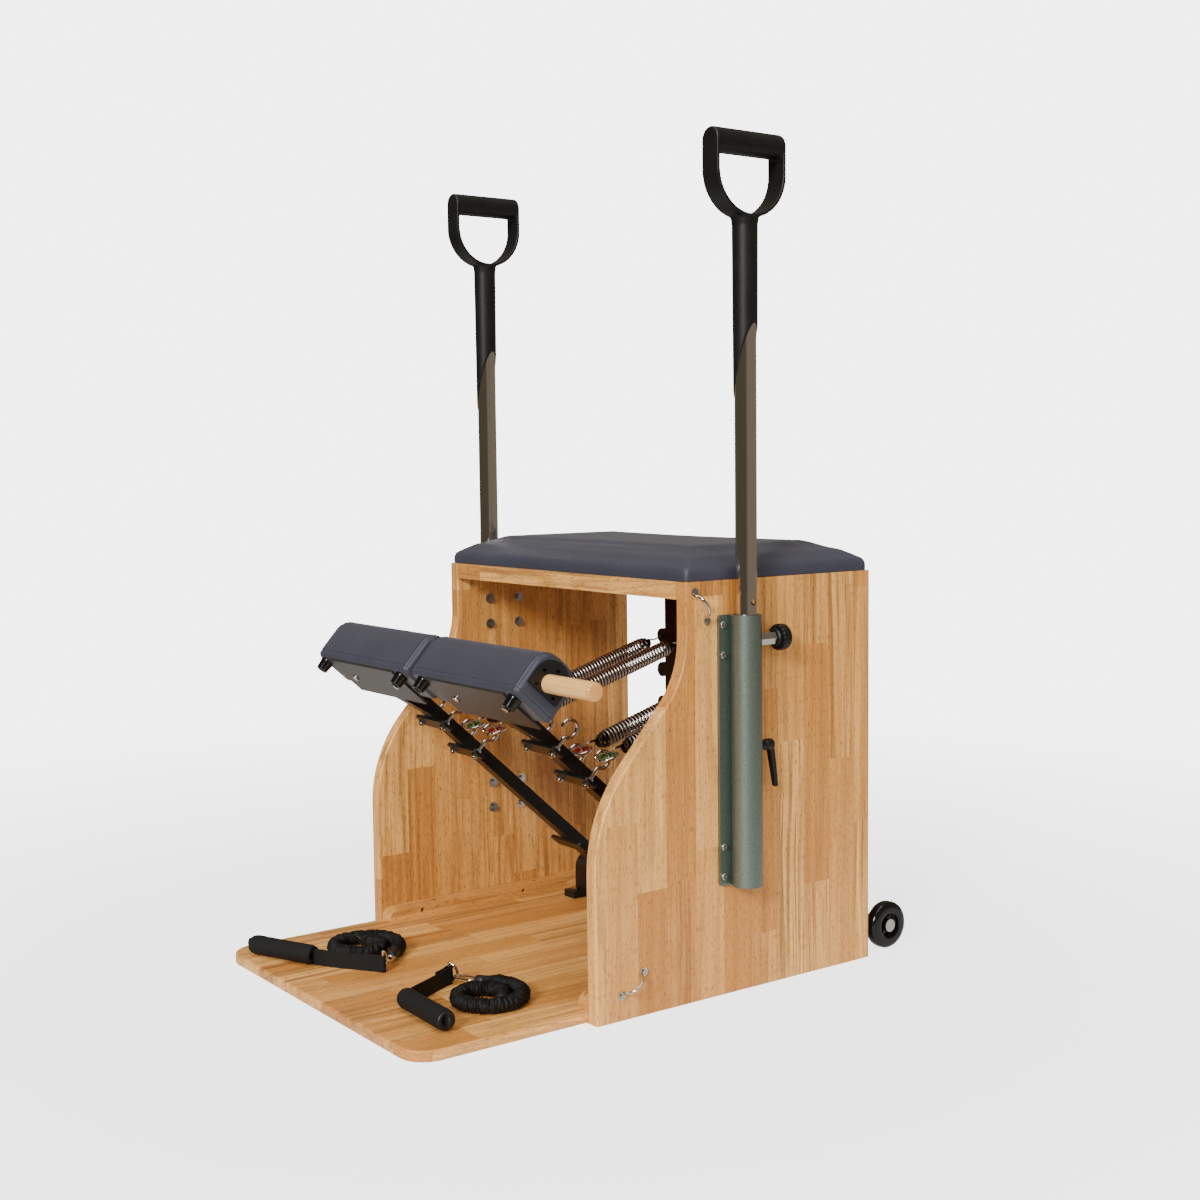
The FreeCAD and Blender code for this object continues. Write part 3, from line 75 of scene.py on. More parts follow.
# Pedal frame: x across, y back along the arm from the pad's front edge, z off the plate
PEDAL_SLOPE = math.radians(42)
ARM_REACH = 0.633
ARM_MIDDLE = 0.022
AXLE = middle("pedal_axle")
PEDAL_TURN = Matrix.Rotation(-PEDAL_SLOPE, 4, "X")
PEDAL = Matrix.Translation(AXLE - PEDAL_TURN @ Vector((0, ARM_REACH, ARM_MIDDLE))) @ PEDAL_TURN
ARM_X = 0.152
PAD_INNER = 0.004
PAD_OUTER = 0.291
PAD_WIDTH = 0.0795
PAD_HEIGHT = 0.085
DOWEL_FRONT = 0.035
DOWEL_RISE = 0.040
DOWEL_RADIUS = (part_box("dowel")[1].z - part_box("dowel")[0].z) / 2
DOWEL_BORE = DOWEL_RADIUS + 0.0006

# Springs: axis from the pedal hook to the anchor on the rear post
HOOK_REACH = 0.382
HOOK_RISE = 0.050
SPRING_X = 0.0323
SPRING_FRONT = PEDAL @ Vector((0, ARM_REACH - HOOK_REACH, HOOK_RISE))
SPRING_REAR = Vector((0, 0.3905, 0.461))
SPRING_WAY = (SPRING_REAR - SPRING_FRONT).normalized()
SPRING_LENGTH = (SPRING_REAR - SPRING_FRONT).length
COIL_FRONT, COIL_REAR = 0.0396, SPRING_LENGTH - 0.034
TAIL_SHARE = 0.7

# Bungee sets on the base board
CORD_DIAMETER = 0.022
CORD_LOOP = 0.058
CORD_STEP = 0.028
CORD_LOOPS = 1.15
CORD_POINTS = 16
CORD_END_TURN = math.radians(25)
BOARD_TOP = 0.0163
CRIMP_LENGTH = 0.022
BUNGEE_SETS = (
    ("left", (-0.142, -0.2395), 46.0, 1, (-0.132, -0.325), 202.7),
    ("right", (0.176, -0.2156), 120.0, -1, (0.122, -0.314), -2.2),
)


def shade(name, description, value):
    return bpy.props.FloatVectorProperty(name=name, description=description, default=value,
                                         subtype="COLOR", size=3, min=0.0, max=1.0)


def span(name, description, value):
    return bpy.props.FloatProperty(name=name, description=description, default=value,
                                   unit="LENGTH", min=0.0, precision=4)


def level(name, description, value):
    return bpy.props.FloatProperty(name=name, description=description, default=value, min=0.0)


class ChairColours(bpy.types.PropertyGroup):
    """Colours of the chair's materials"""

    wood_pale: shade("Pale stave", "Lightest staves of the rubberwood", (0.88, 0.462, 0.134))
    wood_warm: shade("Warm stave", "Darkest staves of the rubberwood", (0.57, 0.235, 0.051))
    wood_grain: shade("Grain", "Dark grain lines and pores of the rubberwood", (0.120, 0.042, 0.012))
    dowel: shade("Dowel", "Turned hardwood of the dowel", (0.92, 0.53, 0.175))
    vinyl: shade("Vinyl", "Cover of the seat and the pads", (0.0285, 0.0300, 0.0450))
    thread: shade("Thread", "Stitching of the covers", (0.020, 0.021, 0.032))
    hammertone: shade("Hammertone", "Textured paint of the post sleeves", (0.175, 0.220, 0.188))
    plate: shade("Plate", "Painted plates under the pads", (0.028, 0.024, 0.019))
    red: shade("Red lining", "Linings of the stronger springs' rings", (0.42, 0.012, 0.018))
    green: shade("Green lining", "Linings of the lighter springs' rings", (0.006, 0.22, 0.055))


class ChairSizes(bpy.types.PropertyGroup):
    """Sizes of the chair's fine detail"""

    stave_width: span("Stave width", "Width of the glued staves", 0.052)
    block_length: span("Block length", "Usual length of one finger-jointed block", 0.36)
    seam_inset: span("Seam inset", "From the pad's end to its sewn seam", 0.0075)
    stitch_length: span("Stitch length", "Length of one stitch", 0.0033)
    stitch_gap: span("Stitch gap", "Space between stitches", 0.0013)
    seat_swell: span("Seat swell", "Most that the seat foam pushes the cover out", 0.006)
    pad_swell: span("Pad swell", "Most that the pad foam pushes the cover out", 0.004)
    spring_wire: span("Spring wire", "Thickness of the spring wire", 0.0042)
    spring_coil: span("Spring width", "Outside width of a spring", 0.028)
    ruffle_pitch: span("Ruffle pitch", "Spacing of the gathers on the bungee sleeve", 0.0058)
    spring_turns: bpy.props.IntProperty(name="Spring turns", description="Turns of each spring",
                                        default=56, min=10, max=200)


class StudioSettings(bpy.types.PropertyGroup):
    """Camera and light of the studio"""

    lens: bpy.props.FloatProperty(name="Lens", description="Focal length of the camera",
                                  default=49.543, unit="CAMERA")
    key_strength: level("Key light", "Strength of the key light", 4.1)
    top_strength: level("Top light", "Strength of the light overhead", 1.75)
    side_strength: level("Side light", "Strength of the soft side light", 1.5)
    room_level: level("Room", "Brightness of the room", 0.55)


# Materials


class Value:
    """A shader socket that takes part in Python sums"""

    def __init__(self, finish, socket):
        self.finish = finish
        self.socket = socket

    def sum(self, operation, *terms):
        return self.finish.node("ShaderNodeMath", {"operation": operation}, dict(enumerate(terms)))

    def __add__(self, other):
        return self.sum("ADD", self, other)

    def __sub__(self, other):
        return self.sum("SUBTRACT", self, other)

    def __mul__(self, other):
        return self.sum("MULTIPLY", self, other)

    def __truediv__(self, other):
        return self.sum("DIVIDE", self, other)

    def __gt__(self, other):
        return self.sum("GREATER_THAN", self, other)

    def floor(self):
        return self.sum("FLOOR", self)

    def sine(self):
        return self.sum("SINE", self)

    def size(self):
        return self.sum("ABSOLUTE", self)


class Nodes:
    """A shader tree, made one node at a time"""

    def __init__(self, tree):
        self.tree = tree
        tree.nodes.clear()

    def node(self, kind, settings=(), inputs=(), output=0):
        made = self.tree.nodes.new(kind)
        for key, value in dict(settings).items():
            if key == "stops":
                elements = made.color_ramp.elements
                elements.remove(elements[1])
                elements[0].position = value[0][0]
                for position, _ in value[1:]:
                    elements.new(position)
                for element, (position, tone) in zip(elements, value):
                    element.color = (*tone, 1.0) if isinstance(tone, tuple) else (tone, tone, tone, 1.0)
            else:
                setattr(made, key, value)
        for key, value in dict(inputs).items():
            socket = made.inputs[key]
            if isinstance(value, Value):
                self.tree.links.new(value.socket, socket)
            elif socket.type == "RGBA":
                socket.default_value = (*value[:3], 1.0)
            else:
                socket.default_value = value
        return Value(self, made.outputs[output]) if made.outputs else None


class Finish(Nodes):
    """A procedural material"""

    def __init__(self, name):
        self.material = bpy.data.materials.new(name)
        self.material.use_nodes = True
        super().__init__(self.material.node_tree)
        self.place = self.node("ShaderNodeTexCoord", output="Object")

    def split(self, vector):
        made = self.node("ShaderNodeSeparateXYZ", (), {0: vector}).socket.node
        return [Value(self, socket) for socket in made.outputs]

    def join(self, x, y, z):
        return self.node("ShaderNodeCombineXYZ", (), {0: x, 1: y, 2: z})

    def stretched(self, x, y, z):
        return self.node("ShaderNodeVectorMath", {"operation": "MULTIPLY"}, {0: self.place, 1: (x, y, z)})

    def noise(self, vector, scale, detail=2.0, roughness=0.5, distortion=0.0):
        return self.node("ShaderNodeTexNoise", (), {
            "Vector": vector, "Scale": scale, "Detail": detail, "Roughness": roughness,
            "Distortion": distortion})

    def cells(self, vector, scale, feature="F1", smoothness=None):
        inputs = {"Vector": vector, "Scale": scale}
        if smoothness is not None:
            inputs["Smoothness"] = smoothness
        return self.node("ShaderNodeTexVoronoi", {"feature": feature}, inputs, "Distance")

    def chance(self, x, y, z=0.0):
        spot = self.join(x, y, z)
        return self.node("ShaderNodeTexWhiteNoise", {"noise_dimensions": "3D"}, {"Vector": spot})

    def ramp(self, value, *stops):
        return self.node("ShaderNodeValToRGB", {"stops": stops}, {"Fac": value})

    def mix(self, factor, first, second):
        return self.node("ShaderNodeMix", {"data_type": "RGBA"}, {0: factor, 6: first, 7: second}, 2)

    def mottled(self, value, low, high, tone, first, second):
        """Goes from one share of a tone to another while value rises from low to high"""
        return self.mix(self.ramp(value, (low, 0.0), (high, 1.0)), scaled(tone, first), scaled(tone, second))

    def bump(self, height, strength, distance):
        return self.node("ShaderNodeBump", (), {"Strength": strength, "Distance": distance, "Height": height})

    def surface(self, tone, roughness, normal=None, metallic=0.0, **constants):
        inputs = {"Base Color": tone, "Roughness": roughness, "Metallic": metallic}
        if normal is not None:
            inputs["Normal"] = normal
        for key, value in constants.items():
            inputs[key.replace("_", " ")] = value
        shader = self.node("ShaderNodeBsdfPrincipled", (), inputs)
        self.node("ShaderNodeOutputMaterial", (), {"Surface": shader})
        return self.material


def scaled(tone, share):
    return tuple(share * part for part in tone)


def rubberwood(name, across, along, seed):
    """Edge-glued staves of finger-jointed blocks under clear lacquer"""
    colours = bpy.context.scene.chair_colours
    sizes = bpy.context.scene.chair_sizes
    finish = Finish(name)
    axes = dict(zip("xyz", finish.split(finish.place)))
    side, length = axes[across], axes[along]
    depth = axes[next(axis for axis in "xyz" if axis not in (across, along))]
    row = (side / sizes.stave_width + seed).floor()
    row_chance = finish.chance(row, seed)
    block = (length / sizes.block_length + row_chance * 9.0).floor()
    tone_chance = finish.chance(row, block, seed)
    figure_chance = finish.chance(block, row, seed + 5.0)
    shift = figure_chance * 30.0
    sway = finish.noise(finish.join(side * 3.0, length * 2.2, shift), 1.0, 2.0) * 0.02
    line = side + sway
    figure = finish.noise(finish.join(line * 16.0 + shift, length * 1.1 + shift, depth * 16.0),
                          1.0, 3.0, 0.55, 0.4)
    rings = finish.ramp((figure * 52.0).sine() * 0.5 + 0.5, (0.45, 0.0), (1.0, 1.0))
    fibre = finish.noise(finish.join(line * 430.0, length * 8.0, depth * 430.0), 1.0, 4.0, 0.65)
    streak = finish.noise(finish.join(line * 95.0 + shift, length * 1.6 + shift, depth * 95.0),
                          1.0, 5.0, 0.72)
    streaks = finish.ramp(streak, (0.47, 0.0), (0.59, 1.0)) * (figure_chance * 0.75 + 0.25)
    pores = finish.ramp(finish.noise(finish.join(line * 760.0, length * 110.0, depth * 760.0), 1.0, 2.0),
                        (0.56, 0.0), (0.66, 1.0))
    cloud = finish.noise(finish.join(line * 9.0, length * 2.5, shift), 1.0, 3.0)
    tone = finish.mix(finish.ramp(tone_chance * 0.5 + cloud * 0.8, (0.40, 0.0), (0.86, 1.0)),
                      colours.wood_pale, colours.wood_warm)
    tone = finish.mix(rings * (row_chance * 0.45 + 0.1), tone, scaled(colours.wood_warm, 0.72))
    tone = finish.mix(streaks * 0.85, tone, scaled(colours.wood_warm, 0.46))
    tone = finish.mix(finish.ramp(fibre, (0.48, 0.0), (0.80, 0.6)), tone, scaled(colours.wood_warm, 0.7))
    tone = finish.mix(pores * 0.55, tone, colours.wood_grain)
    edge = (side / sizes.stave_width + seed - row - 0.5).size() > 0.494
    tone = finish.mix(edge * 0.3, tone, colours.wood_grain)
    height = fibre * 0.5 - pores * 0.5
    roughness = fibre * 0.12 + 0.34
    return finish.surface(tone, roughness, finish.bump(height, 0.16, 0.0003), Specular_IOR_Level=0.35,
                          Coat_Weight=0.12, Coat_Roughness=0.12)


def turned_dowel():
    """Pale straight-grained dowel under gloss lacquer"""
    colours = bpy.context.scene.chair_colours
    finish = Finish("dowel_lacquer")
    x, y, z = finish.split(finish.place)
    fibre = finish.noise(finish.join(x * 7.0, y * 480.0, z * 480.0), 1.0, 4.0, 0.6)
    bands = finish.noise(finish.join(x * 2.0, y * 70.0, z * 70.0), 1.0, 2.0)
    tone = finish.mix(finish.ramp(bands, (0.3, 0.0), (0.75, 0.6)), colours.dowel,
                      scaled(colours.dowel, 0.72))
    tone = finish.mix(finish.ramp(fibre, (0.5, 0.0), (0.8, 0.6)), tone, scaled(colours.dowel, 0.5))
    end = finish.ramp(x, (0.3955, 0.0), (0.3985, 0.75))
    tone = finish.mix(end, tone, scaled(colours.wood_warm, 1.15))
    return finish.surface(tone, fibre * 0.08 + 0.2, finish.bump(fibre, 0.06, 0.0003), Coat_Weight=0.7,
                          Coat_Roughness=0.06)


def grained_vinyl(name, tone):
    """Upholstery vinyl with a fine pebbled grain"""
    finish = Finish(name)
    pebble = finish.cells(finish.place, 780.0, "SMOOTH_F1", 0.7)
    crease = finish.noise(finish.place, 210.0, 4.0, 0.6)
    cloud = finish.noise(finish.place, 14.0, 3.0)
    colour = finish.mottled(cloud, 0.3, 0.75, tone, 0.9, 1.12)
    colour = finish.mix(pebble * 0.3, colour, scaled(tone, 1.35))
    roughness = crease * 0.12 + 0.46
    normal = finish.bump(pebble + crease * 0.5, 0.16, 0.0004)
    return finish.surface(colour, roughness, normal, Sheen_Weight=0.08, Sheen_Roughness=0.4)


def hammered_paint():
    """Hammertone paint: shallow dimples in a metallic green grey"""
    colours = bpy.context.scene.chair_colours
    finish = Finish("hammertone_paint")
    dimple = finish.cells(finish.place, 560.0, "SMOOTH_F1", 0.9)
    ripple = finish.noise(finish.place, 160.0, 3.0)
    tone = finish.mottled(dimple, 0.1, 0.7, colours.hammertone, 1.15, 0.88)
    normal = finish.bump(dimple + ripple * 0.4, 0.3, 0.0005)
    return finish.surface(tone, ripple * 0.12 + 0.4, normal, metallic=0.9, Coat_Weight=0.1,
                          Coat_Roughness=0.2)


def bright_metal(name, tone, roughness, wear, black_from=None):
    """Plated or ground metal with faint rubbing marks, blackened beyond an X"""
    finish = Finish(name)
    rub = finish.noise(finish.stretched(60.0, 60.0, 420.0), 1.0, 3.0)
    haze = finish.noise(finish.place, 25.0, 3.0)
    colour = finish.mix(haze * wear, tone, scaled(tone, 0.55))
    if black_from is not None:
        colour = finish.mix(finish.split(finish.place)[0] > black_from, colour, scaled(tone, 0.03))
    return finish.surface(colour, rub * (roughness * 0.7) + (roughness * 0.65),
                          finish.bump(rub, 0.02, 0.0002), metallic=1.0)


def coiled_steel():
    """Spring wire with a painted highlight on the crests of its turns and painted shade between them"""
    finish = Finish("coiled_steel")
    crest = finish.node("ShaderNodeAttribute", {"attribute_name": "crest"}, (), "Fac")
    haze = finish.noise(finish.place, 60.0, 3.0)
    # Painted light: the bright tone is a painted highlight on each turn's outer face, the dark tone painted
    # shade on its inner face and between turns
    tone = finish.mix(finish.ramp(crest, (0.58, 0.0), (0.88, 1.0)), (0.050, 0.042, 0.036),
                      (0.50, 0.45, 0.41))
    return finish.surface(tone, haze * 0.1 + 0.27, finish.bump(haze, 0.02, 0.0002), metallic=1.0)


def moulded_plastic(name, tone, roughness, stipple, strength):
    """Moulded plastic or coating with a fine stipple"""
    finish = Finish(name)
    grain = finish.cells(finish.place, stipple, "SMOOTH_F1", 0.6)
    scuff = finish.noise(finish.place, 45.0, 4.0, 0.65)
    colour = finish.mottled(scuff, 0.35, 0.8, tone, 0.85, 1.3)
    return finish.surface(colour, scuff * 0.14 + roughness - 0.07,
                          finish.bump(grain, strength, 0.0004), Specular_IOR_Level=0.35)


def painted_plate():
    """Brown-grey paint on the underside plates, rubbed at random"""
    colours = bpy.context.scene.chair_colours
    finish = Finish("plate_paint")
    haze = finish.noise(finish.place, 30.0, 4.0, 0.65)
    grit = finish.noise(finish.place, 900.0, 2.0)
    tone = finish.mottled(haze, 0.3, 0.75, colours.plate, 0.8, 1.25)
    return finish.surface(tone, grit * 0.15 + 0.38, finish.bump(grit, 0.08, 0.0003), metallic=0.3)


def woven(name, tone, pitch, roughness):
    """Dense woven or knitted fabric"""
    finish = Finish(name)
    x, y, z = finish.split(finish.place)
    step = FULL_TURN / pitch
    warp = ((x + y) * (step * 0.7)).sine()
    weft = (z * step).sine()
    weave = (warp * weft) * 0.5 + 0.5
    fuzz = finish.noise(finish.place, 1400.0, 2.0)
    colour = finish.mix(weave * 0.6 + fuzz * 0.3, scaled(tone, 0.6), scaled(tone, 1.6))
    return finish.surface(colour, fuzz * 0.1 + roughness, finish.bump(weave + fuzz * 0.5, 0.4, 0.0005),
                          Specular_IOR_Level=0.25)


def closed_foam(name, tone):
    """Closed-cell foam with tiny pits"""
    finish = Finish(name)
    pits = finish.cells(finish.place, 1500.0)
    cloud = finish.noise(finish.place, 60.0, 3.0)
    colour = finish.mix(cloud * 0.7, scaled(tone, 0.8), scaled(tone, 1.5))
    return finish.surface(colour, pits * 0.1 + 0.78, finish.bump(pits + cloud, 0.3, 0.0004),
                          Specular_IOR_Level=0.3)


def slot_finishes():
    """One material for each finish slot of the part"""
    colours = bpy.context.scene.chair_colours
    return {
        "panel_wood": rubberwood("rubberwood_upright", "y", "z", 0.0),
        "vinyl": grained_vinyl("slate_vinyl", tuple(colours.vinyl)),
        "hammertone": hammered_paint(),
        "chrome": bright_metal("chrome_plate", (0.62, 0.585, 0.54), 0.07, 0.12),
        "zinc": bright_metal("zinc_plate", (0.50, 0.475, 0.44), 0.22, 0.3),
        "black_plastic": moulded_plastic("black_plastic", (0.0055, 0.0055, 0.0053), 0.46, 900.0, 0.35),
        "black_steel": moulded_plastic("black_powder_coat", (0.005, 0.0047, 0.0043), 0.38, 1300.0, 0.12),
        "plate_steel": painted_plate(),
        "black_rubber": moulded_plastic("black_rubber", (0.003, 0.003, 0.003), 0.16, 500.0, 0.03),
        "dowel_wood": turned_dowel(),
        "spring_steel": bright_metal("spring_steel", (0.40, 0.335, 0.285), 0.2, 0.3),
        "red_plastic": moulded_plastic("red_lining", tuple(colours.red), 0.32, 700.0, 0.05),
        "green_plastic": moulded_plastic("green_lining", tuple(colours.green), 0.32, 700.0, 0.05),
        "foam": closed_foam("black_foam", (0.0036, 0.0036, 0.0034)),
        "webbing": woven("black_webbing", (0.0034, 0.0034, 0.0034), 0.0016, 0.62),
    }


FINISHES = {}


def finish_of(slot):
    if not FINISHES:
        FINISHES.update(slot_finishes())
    return FINISHES[slot]


# Mesh making

CLOTH_QUALITY = 5
CLOTH_PRESSURE = 4.0
CLOTH_FRAMES = 20


def linked(name, data):
    obj = bpy.data.objects.new(name, data)
    bpy.context.scene.collection.objects.link(obj)
    return obj


def mesh_of(name, bm):
    mesh = bpy.data.meshes.new(name)
    bm.to_mesh(mesh)
    bm.free()
    return mesh


def piece(name, bm, body, slot, replaced=(), material=None, smooth=35.0):
    """Turns a bmesh into a named piece that rides on a body"""
    return mesh_piece(name, mesh_of(name, bm), body, slot, replaced, material, smooth)


def mesh_piece(name, mesh, body, slot, replaced=(), material=None, smooth=35.0):
    obj = linked(name, mesh)
    mesh.materials.clear()
    mesh.materials.append(material or finish_of(slot))
    mesh.polygons.foreach_set("use_smooth", [True] * len(mesh.polygons))
    mesh.set_sharp_from_angle(angle=math.radians(smooth))
    if body:
        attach(obj, body)
    if replaced:
        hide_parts(*replaced)
    return obj


def loose_object(name, bm):
    return linked(name, mesh_of(name, bm))


def evaluated(obj):
    graph = bpy.context.evaluated_depsgraph_get()
    return bpy.data.meshes.new_from_object(obj.evaluated_get(graph))


def applied(obj):
    """The object's mesh with its modifiers applied"""
    mesh = evaluated(obj)
    obj.modifiers.clear()
    obj.data = mesh
    return mesh


def taken_mesh(obj):
    mesh = obj.data
    bpy.data.objects.remove(obj)
    return mesh


def turned(bm, profile, place, segments=40):
    """Spins (radius, height) pairs round the Z axis of place"""
    before = set(bm.verts)
    verts = [bm.verts.new((radius, 0, height)) for radius, height in profile]
    edges = [bm.edges.new(pair) for pair in zip(verts, verts[1:])]
    bmesh.ops.spin(bm, geom=verts + edges, cent=(0, 0, 0), axis=(0, 0, 1), dvec=(0, 0, 0),
                   angle=FULL_TURN, steps=segments, use_merge=True)
    fresh = [vert for vert in bm.verts if vert not in before]
    bmesh.ops.remove_doubles(bm, verts=fresh, dist=1e-6)
    fresh = [vert for vert in bm.verts if vert not in before]
    bmesh.ops.transform(bm, matrix=place, verts=fresh)
    faces = [face for face in bm.faces if face.verts[0] not in before]
    bmesh.ops.recalc_face_normals(bm, faces=faces)


def aimed(start, way):
    """A place at start whose Z axis points along way"""
    return Matrix.Translation(start) @ Vector(way).to_track_quat("Z", "Y").to_matrix().to_4x4()


def rod(bm, start, end, radius, segments=24, round_off=0.0):
    start, end = Vector(start), Vector(end)
    length = (end - start).length
    profile = [(0, 0), (radius, 0), (radius, length), (0, length)]
    if round_off:
        profile = [(0, 0)]
        for step in range(5):
            angle = math.pi / 8 * step
            profile.append((radius - round_off + round_off * math.sin(angle),
                            round_off - round_off * math.cos(angle)))
        profile += [(wide, length - high) for wide, high in reversed(profile)]
    turned(bm, profile, aimed(start, end - start), segments)


def sized(centre, x, y, z):
    """A place that stretches a unit shape about a centre"""
    return Matrix.Translation(centre) @ Matrix.Diagonal((x, y, z, 1))


def block(bm, centre, x, y, z):
    bmesh.ops.create_cube(bm, size=1.0, matrix=sized(centre, x, y, z))


def inset(bm, faces, thickness, depth):
    bmesh.ops.inset_region(bm, faces=faces, thickness=thickness, depth=depth, use_even_offset=True)


def eased(bm, edges, offset, segments):
    """Rounds edges off"""
    bmesh.ops.bevel(bm, geom=edges, offset=offset, segments=segments, profile=0.5, affect="EDGES",
                    material=-1)


def sliced(bm, spot, normal, dist=1e-7, **options):
    """Cuts the whole mesh along a plane"""
    geom = bm.verts[:] + bm.edges[:] + bm.faces[:]
    return bmesh.ops.bisect_plane(bm, geom=geom, dist=dist, plane_co=spot, plane_no=normal, **options)


def add_skin(obj, voxel):
    remesh = obj.modifiers.new("skin", "REMESH")
    remesh.mode = "VOXEL"
    remesh.voxel_size = voxel


def add_softening(obj, factor, rounds):
    soften = obj.modifiers.new("soften", "SMOOTH")
    soften.factor = factor
    soften.iterations = rounds


def moulded(name, bm, voxel, rounds):
    """Melts overlapping shapes into one moulded skin"""
    obj = loose_object(name, bm)
    add_skin(obj, voxel)
    add_softening(obj, 0.5, rounds)
    applied(obj)
    return taken_mesh(obj)


def swollen(name, bm, voxel, cap, held):
    """Inflates a cover by cloth pressure, each point moving outwards and no further than cap"""
    obj = loose_object(name, bm)
    add_skin(obj, voxel)
    mesh = applied(obj)
    start = [vert.co.copy() for vert in mesh.vertices]
    scene = bpy.context.scene
    group = obj.vertex_groups.new(name="held")
    group.add([index for index, spot in enumerate(start) if held(spot)], 1.0, "REPLACE")
    cloth = obj.modifiers.new("cloth", "CLOTH")
    cloth.settings.quality = CLOTH_QUALITY
    cloth.settings.use_pressure = True
    cloth.settings.uniform_pressure_force = CLOTH_PRESSURE
    cloth.settings.vertex_group_mass = "held"
    cloth.settings.effector_weights.gravity = 0.0
    cloth.point_cache.frame_start = 1
    cloth.point_cache.frame_end = CLOTH_FRAMES
    for number in range(1, CLOTH_FRAMES + 1):
        scene.frame_set(number)
    graph = bpy.context.evaluated_depsgraph_get()
    blown = [vert.co.copy() for vert in obj.evaluated_get(graph).data.vertices]
    obj.modifiers.clear()
    scene.frame_set(1)
    outward = [vert.normal.copy() for vert in mesh.vertices]
    for vert, was, now, normal in zip(mesh.vertices, start, blown, outward):
        step = now - was
        step -= normal * min(step.dot(normal), 0.0)
        if step.length > cap:
            step *= cap / step.length
        vert.co = was + step
    add_softening(obj, 0.4, 2)
    finer = obj.modifiers.new("finer", "SUBSURF")
    finer.levels = finer.render_levels = 1
    applied(obj)
    return taken_mesh(obj)


# Stage

CAMERA_PLACE = (2.0958, -1.4084, 0.7725)
CAMERA_YAW, CAMERA_PITCH, CAMERA_ROLL = 53.908, 90 - 4.877, -0.672
SENSOR_WIDTH = 36.0
VIEW_DEPTH = 60.0
FLOOR_RADIUS = 2.6
FLOOR_GLOW = 0.5
SWEEP_LEVEL = 5.0
ROOM_LOBE = (-0.17, -0.984, 0.05)
ROOM_STOPS = ((0.2, (0.50, 0.42, 0.33)), (0.5, (0.21, 0.175, 0.13)))
# Name, place, aim, width in degrees, tint and whether it shows in reflections
LIGHTS = (
    ("key", (1.66, -3.12, 1.75), (0, 0, 0), 16.0, (1.0, 0.985, 0.96), True),
    ("top", (0.4, -0.7, 3.4), (0, 0, 0), 50.0, (1.0, 1.0, 1.0), True),
    ("side", (4.0, -1.0, 1.6), (0, 0, 0.3), 60.0, (1.0, 0.99, 0.97), False),
)


def add_light(name, strength, spot, aim, width, tint, glossy):
    """A distant light, its width in degrees"""
    data = bpy.data.lights.new(name, "SUN")
    data.energy = strength
    data.color = tint
    data.angle = math.radians(width)
    obj = linked(name, data)
    obj.matrix_world = aimed(Vector(spot), Vector(spot) - Vector(aim))
    obj.visible_glossy = glossy


class CHAIR_OT_stage(bpy.types.Operator):
    """Camera at the photograph's angle, pale floor and soft studio light"""

    bl_idname = "chair.stage"
    bl_label = "Stage"

    def execute(self, context):
        scene = context.scene
        studio = scene.chair_studio
        data = bpy.data.cameras.new("camera")
        data.lens = studio.lens
        data.sensor_width = SENSOR_WIDTH
        data.clip_end = VIEW_DEPTH
        camera = linked("camera", data)
        turn = (Matrix.Rotation(math.radians(CAMERA_YAW), 4, "Z")
                @ Matrix.Rotation(math.radians(CAMERA_PITCH), 4, "X")
                @ Matrix.Rotation(math.radians(CAMERA_ROLL), 4, "Z"))
        camera.matrix_world = Matrix.Translation(CAMERA_PLACE) @ turn
        scene.camera = camera

        bm = bmesh.new()
        bmesh.ops.create_circle(bm, cap_ends=True, segments=96, radius=FLOOR_RADIUS)
        floor = loose_object("floor", bm)
        finish = Finish("studio_floor")
        cloud = finish.noise(finish.place, 1.5, 2.0)
        tone = finish.mix(cloud * 0.1, (0.90, 0.90, 0.90), (0.86, 0.86, 0.86))
        reach = finish.node("ShaderNodeVectorMath", {"operation": "LENGTH"}, {0: finish.place}, "Value")
        fade = finish.ramp(reach * 0.4, (0.28, 0.55), (1.0, 0.0))
        material = finish.surface(tone, cloud * 0.1 + 0.55, Alpha=fade, Emission_Color=(1.0, 1.0, 1.0),
                                  Emission_Strength=FLOOR_GLOW)
        floor.data.materials.append(material)

        for name, *setting in LIGHTS:
            add_light(name, getattr(studio, name + "_strength"), *setting)

        world = bpy.data.worlds.new("studio_room")
        scene.world = world
        world.use_nodes = True
        sky = Nodes(world.node_tree)
        way = sky.node("ShaderNodeTexCoord", output="Generated")
        lobe = sky.node("ShaderNodeVectorMath", {"operation": "DOT_PRODUCT"}, {0: way, 1: ROOM_LOBE}, "Value")
        tone = sky.node("ShaderNodeValToRGB", {"stops": ROOM_STOPS}, {"Fac": lobe})
        room = sky.node("ShaderNodeBackground", (), {"Color": tone, "Strength": studio.room_level})
        sweep = sky.node("ShaderNodeBackground", (), {"Color": (1.0, 1.0, 1.0), "Strength": SWEEP_LEVEL})
        rays = sky.node("ShaderNodeLightPath", output="Is Camera Ray")
        seen = sky.node("ShaderNodeMixShader", (), {0: rays, 1: room, 2: sweep})
        sky.node("ShaderNodeOutputWorld", (), {"Surface": seen})
        return {"FINISHED"}


# Bungee sets

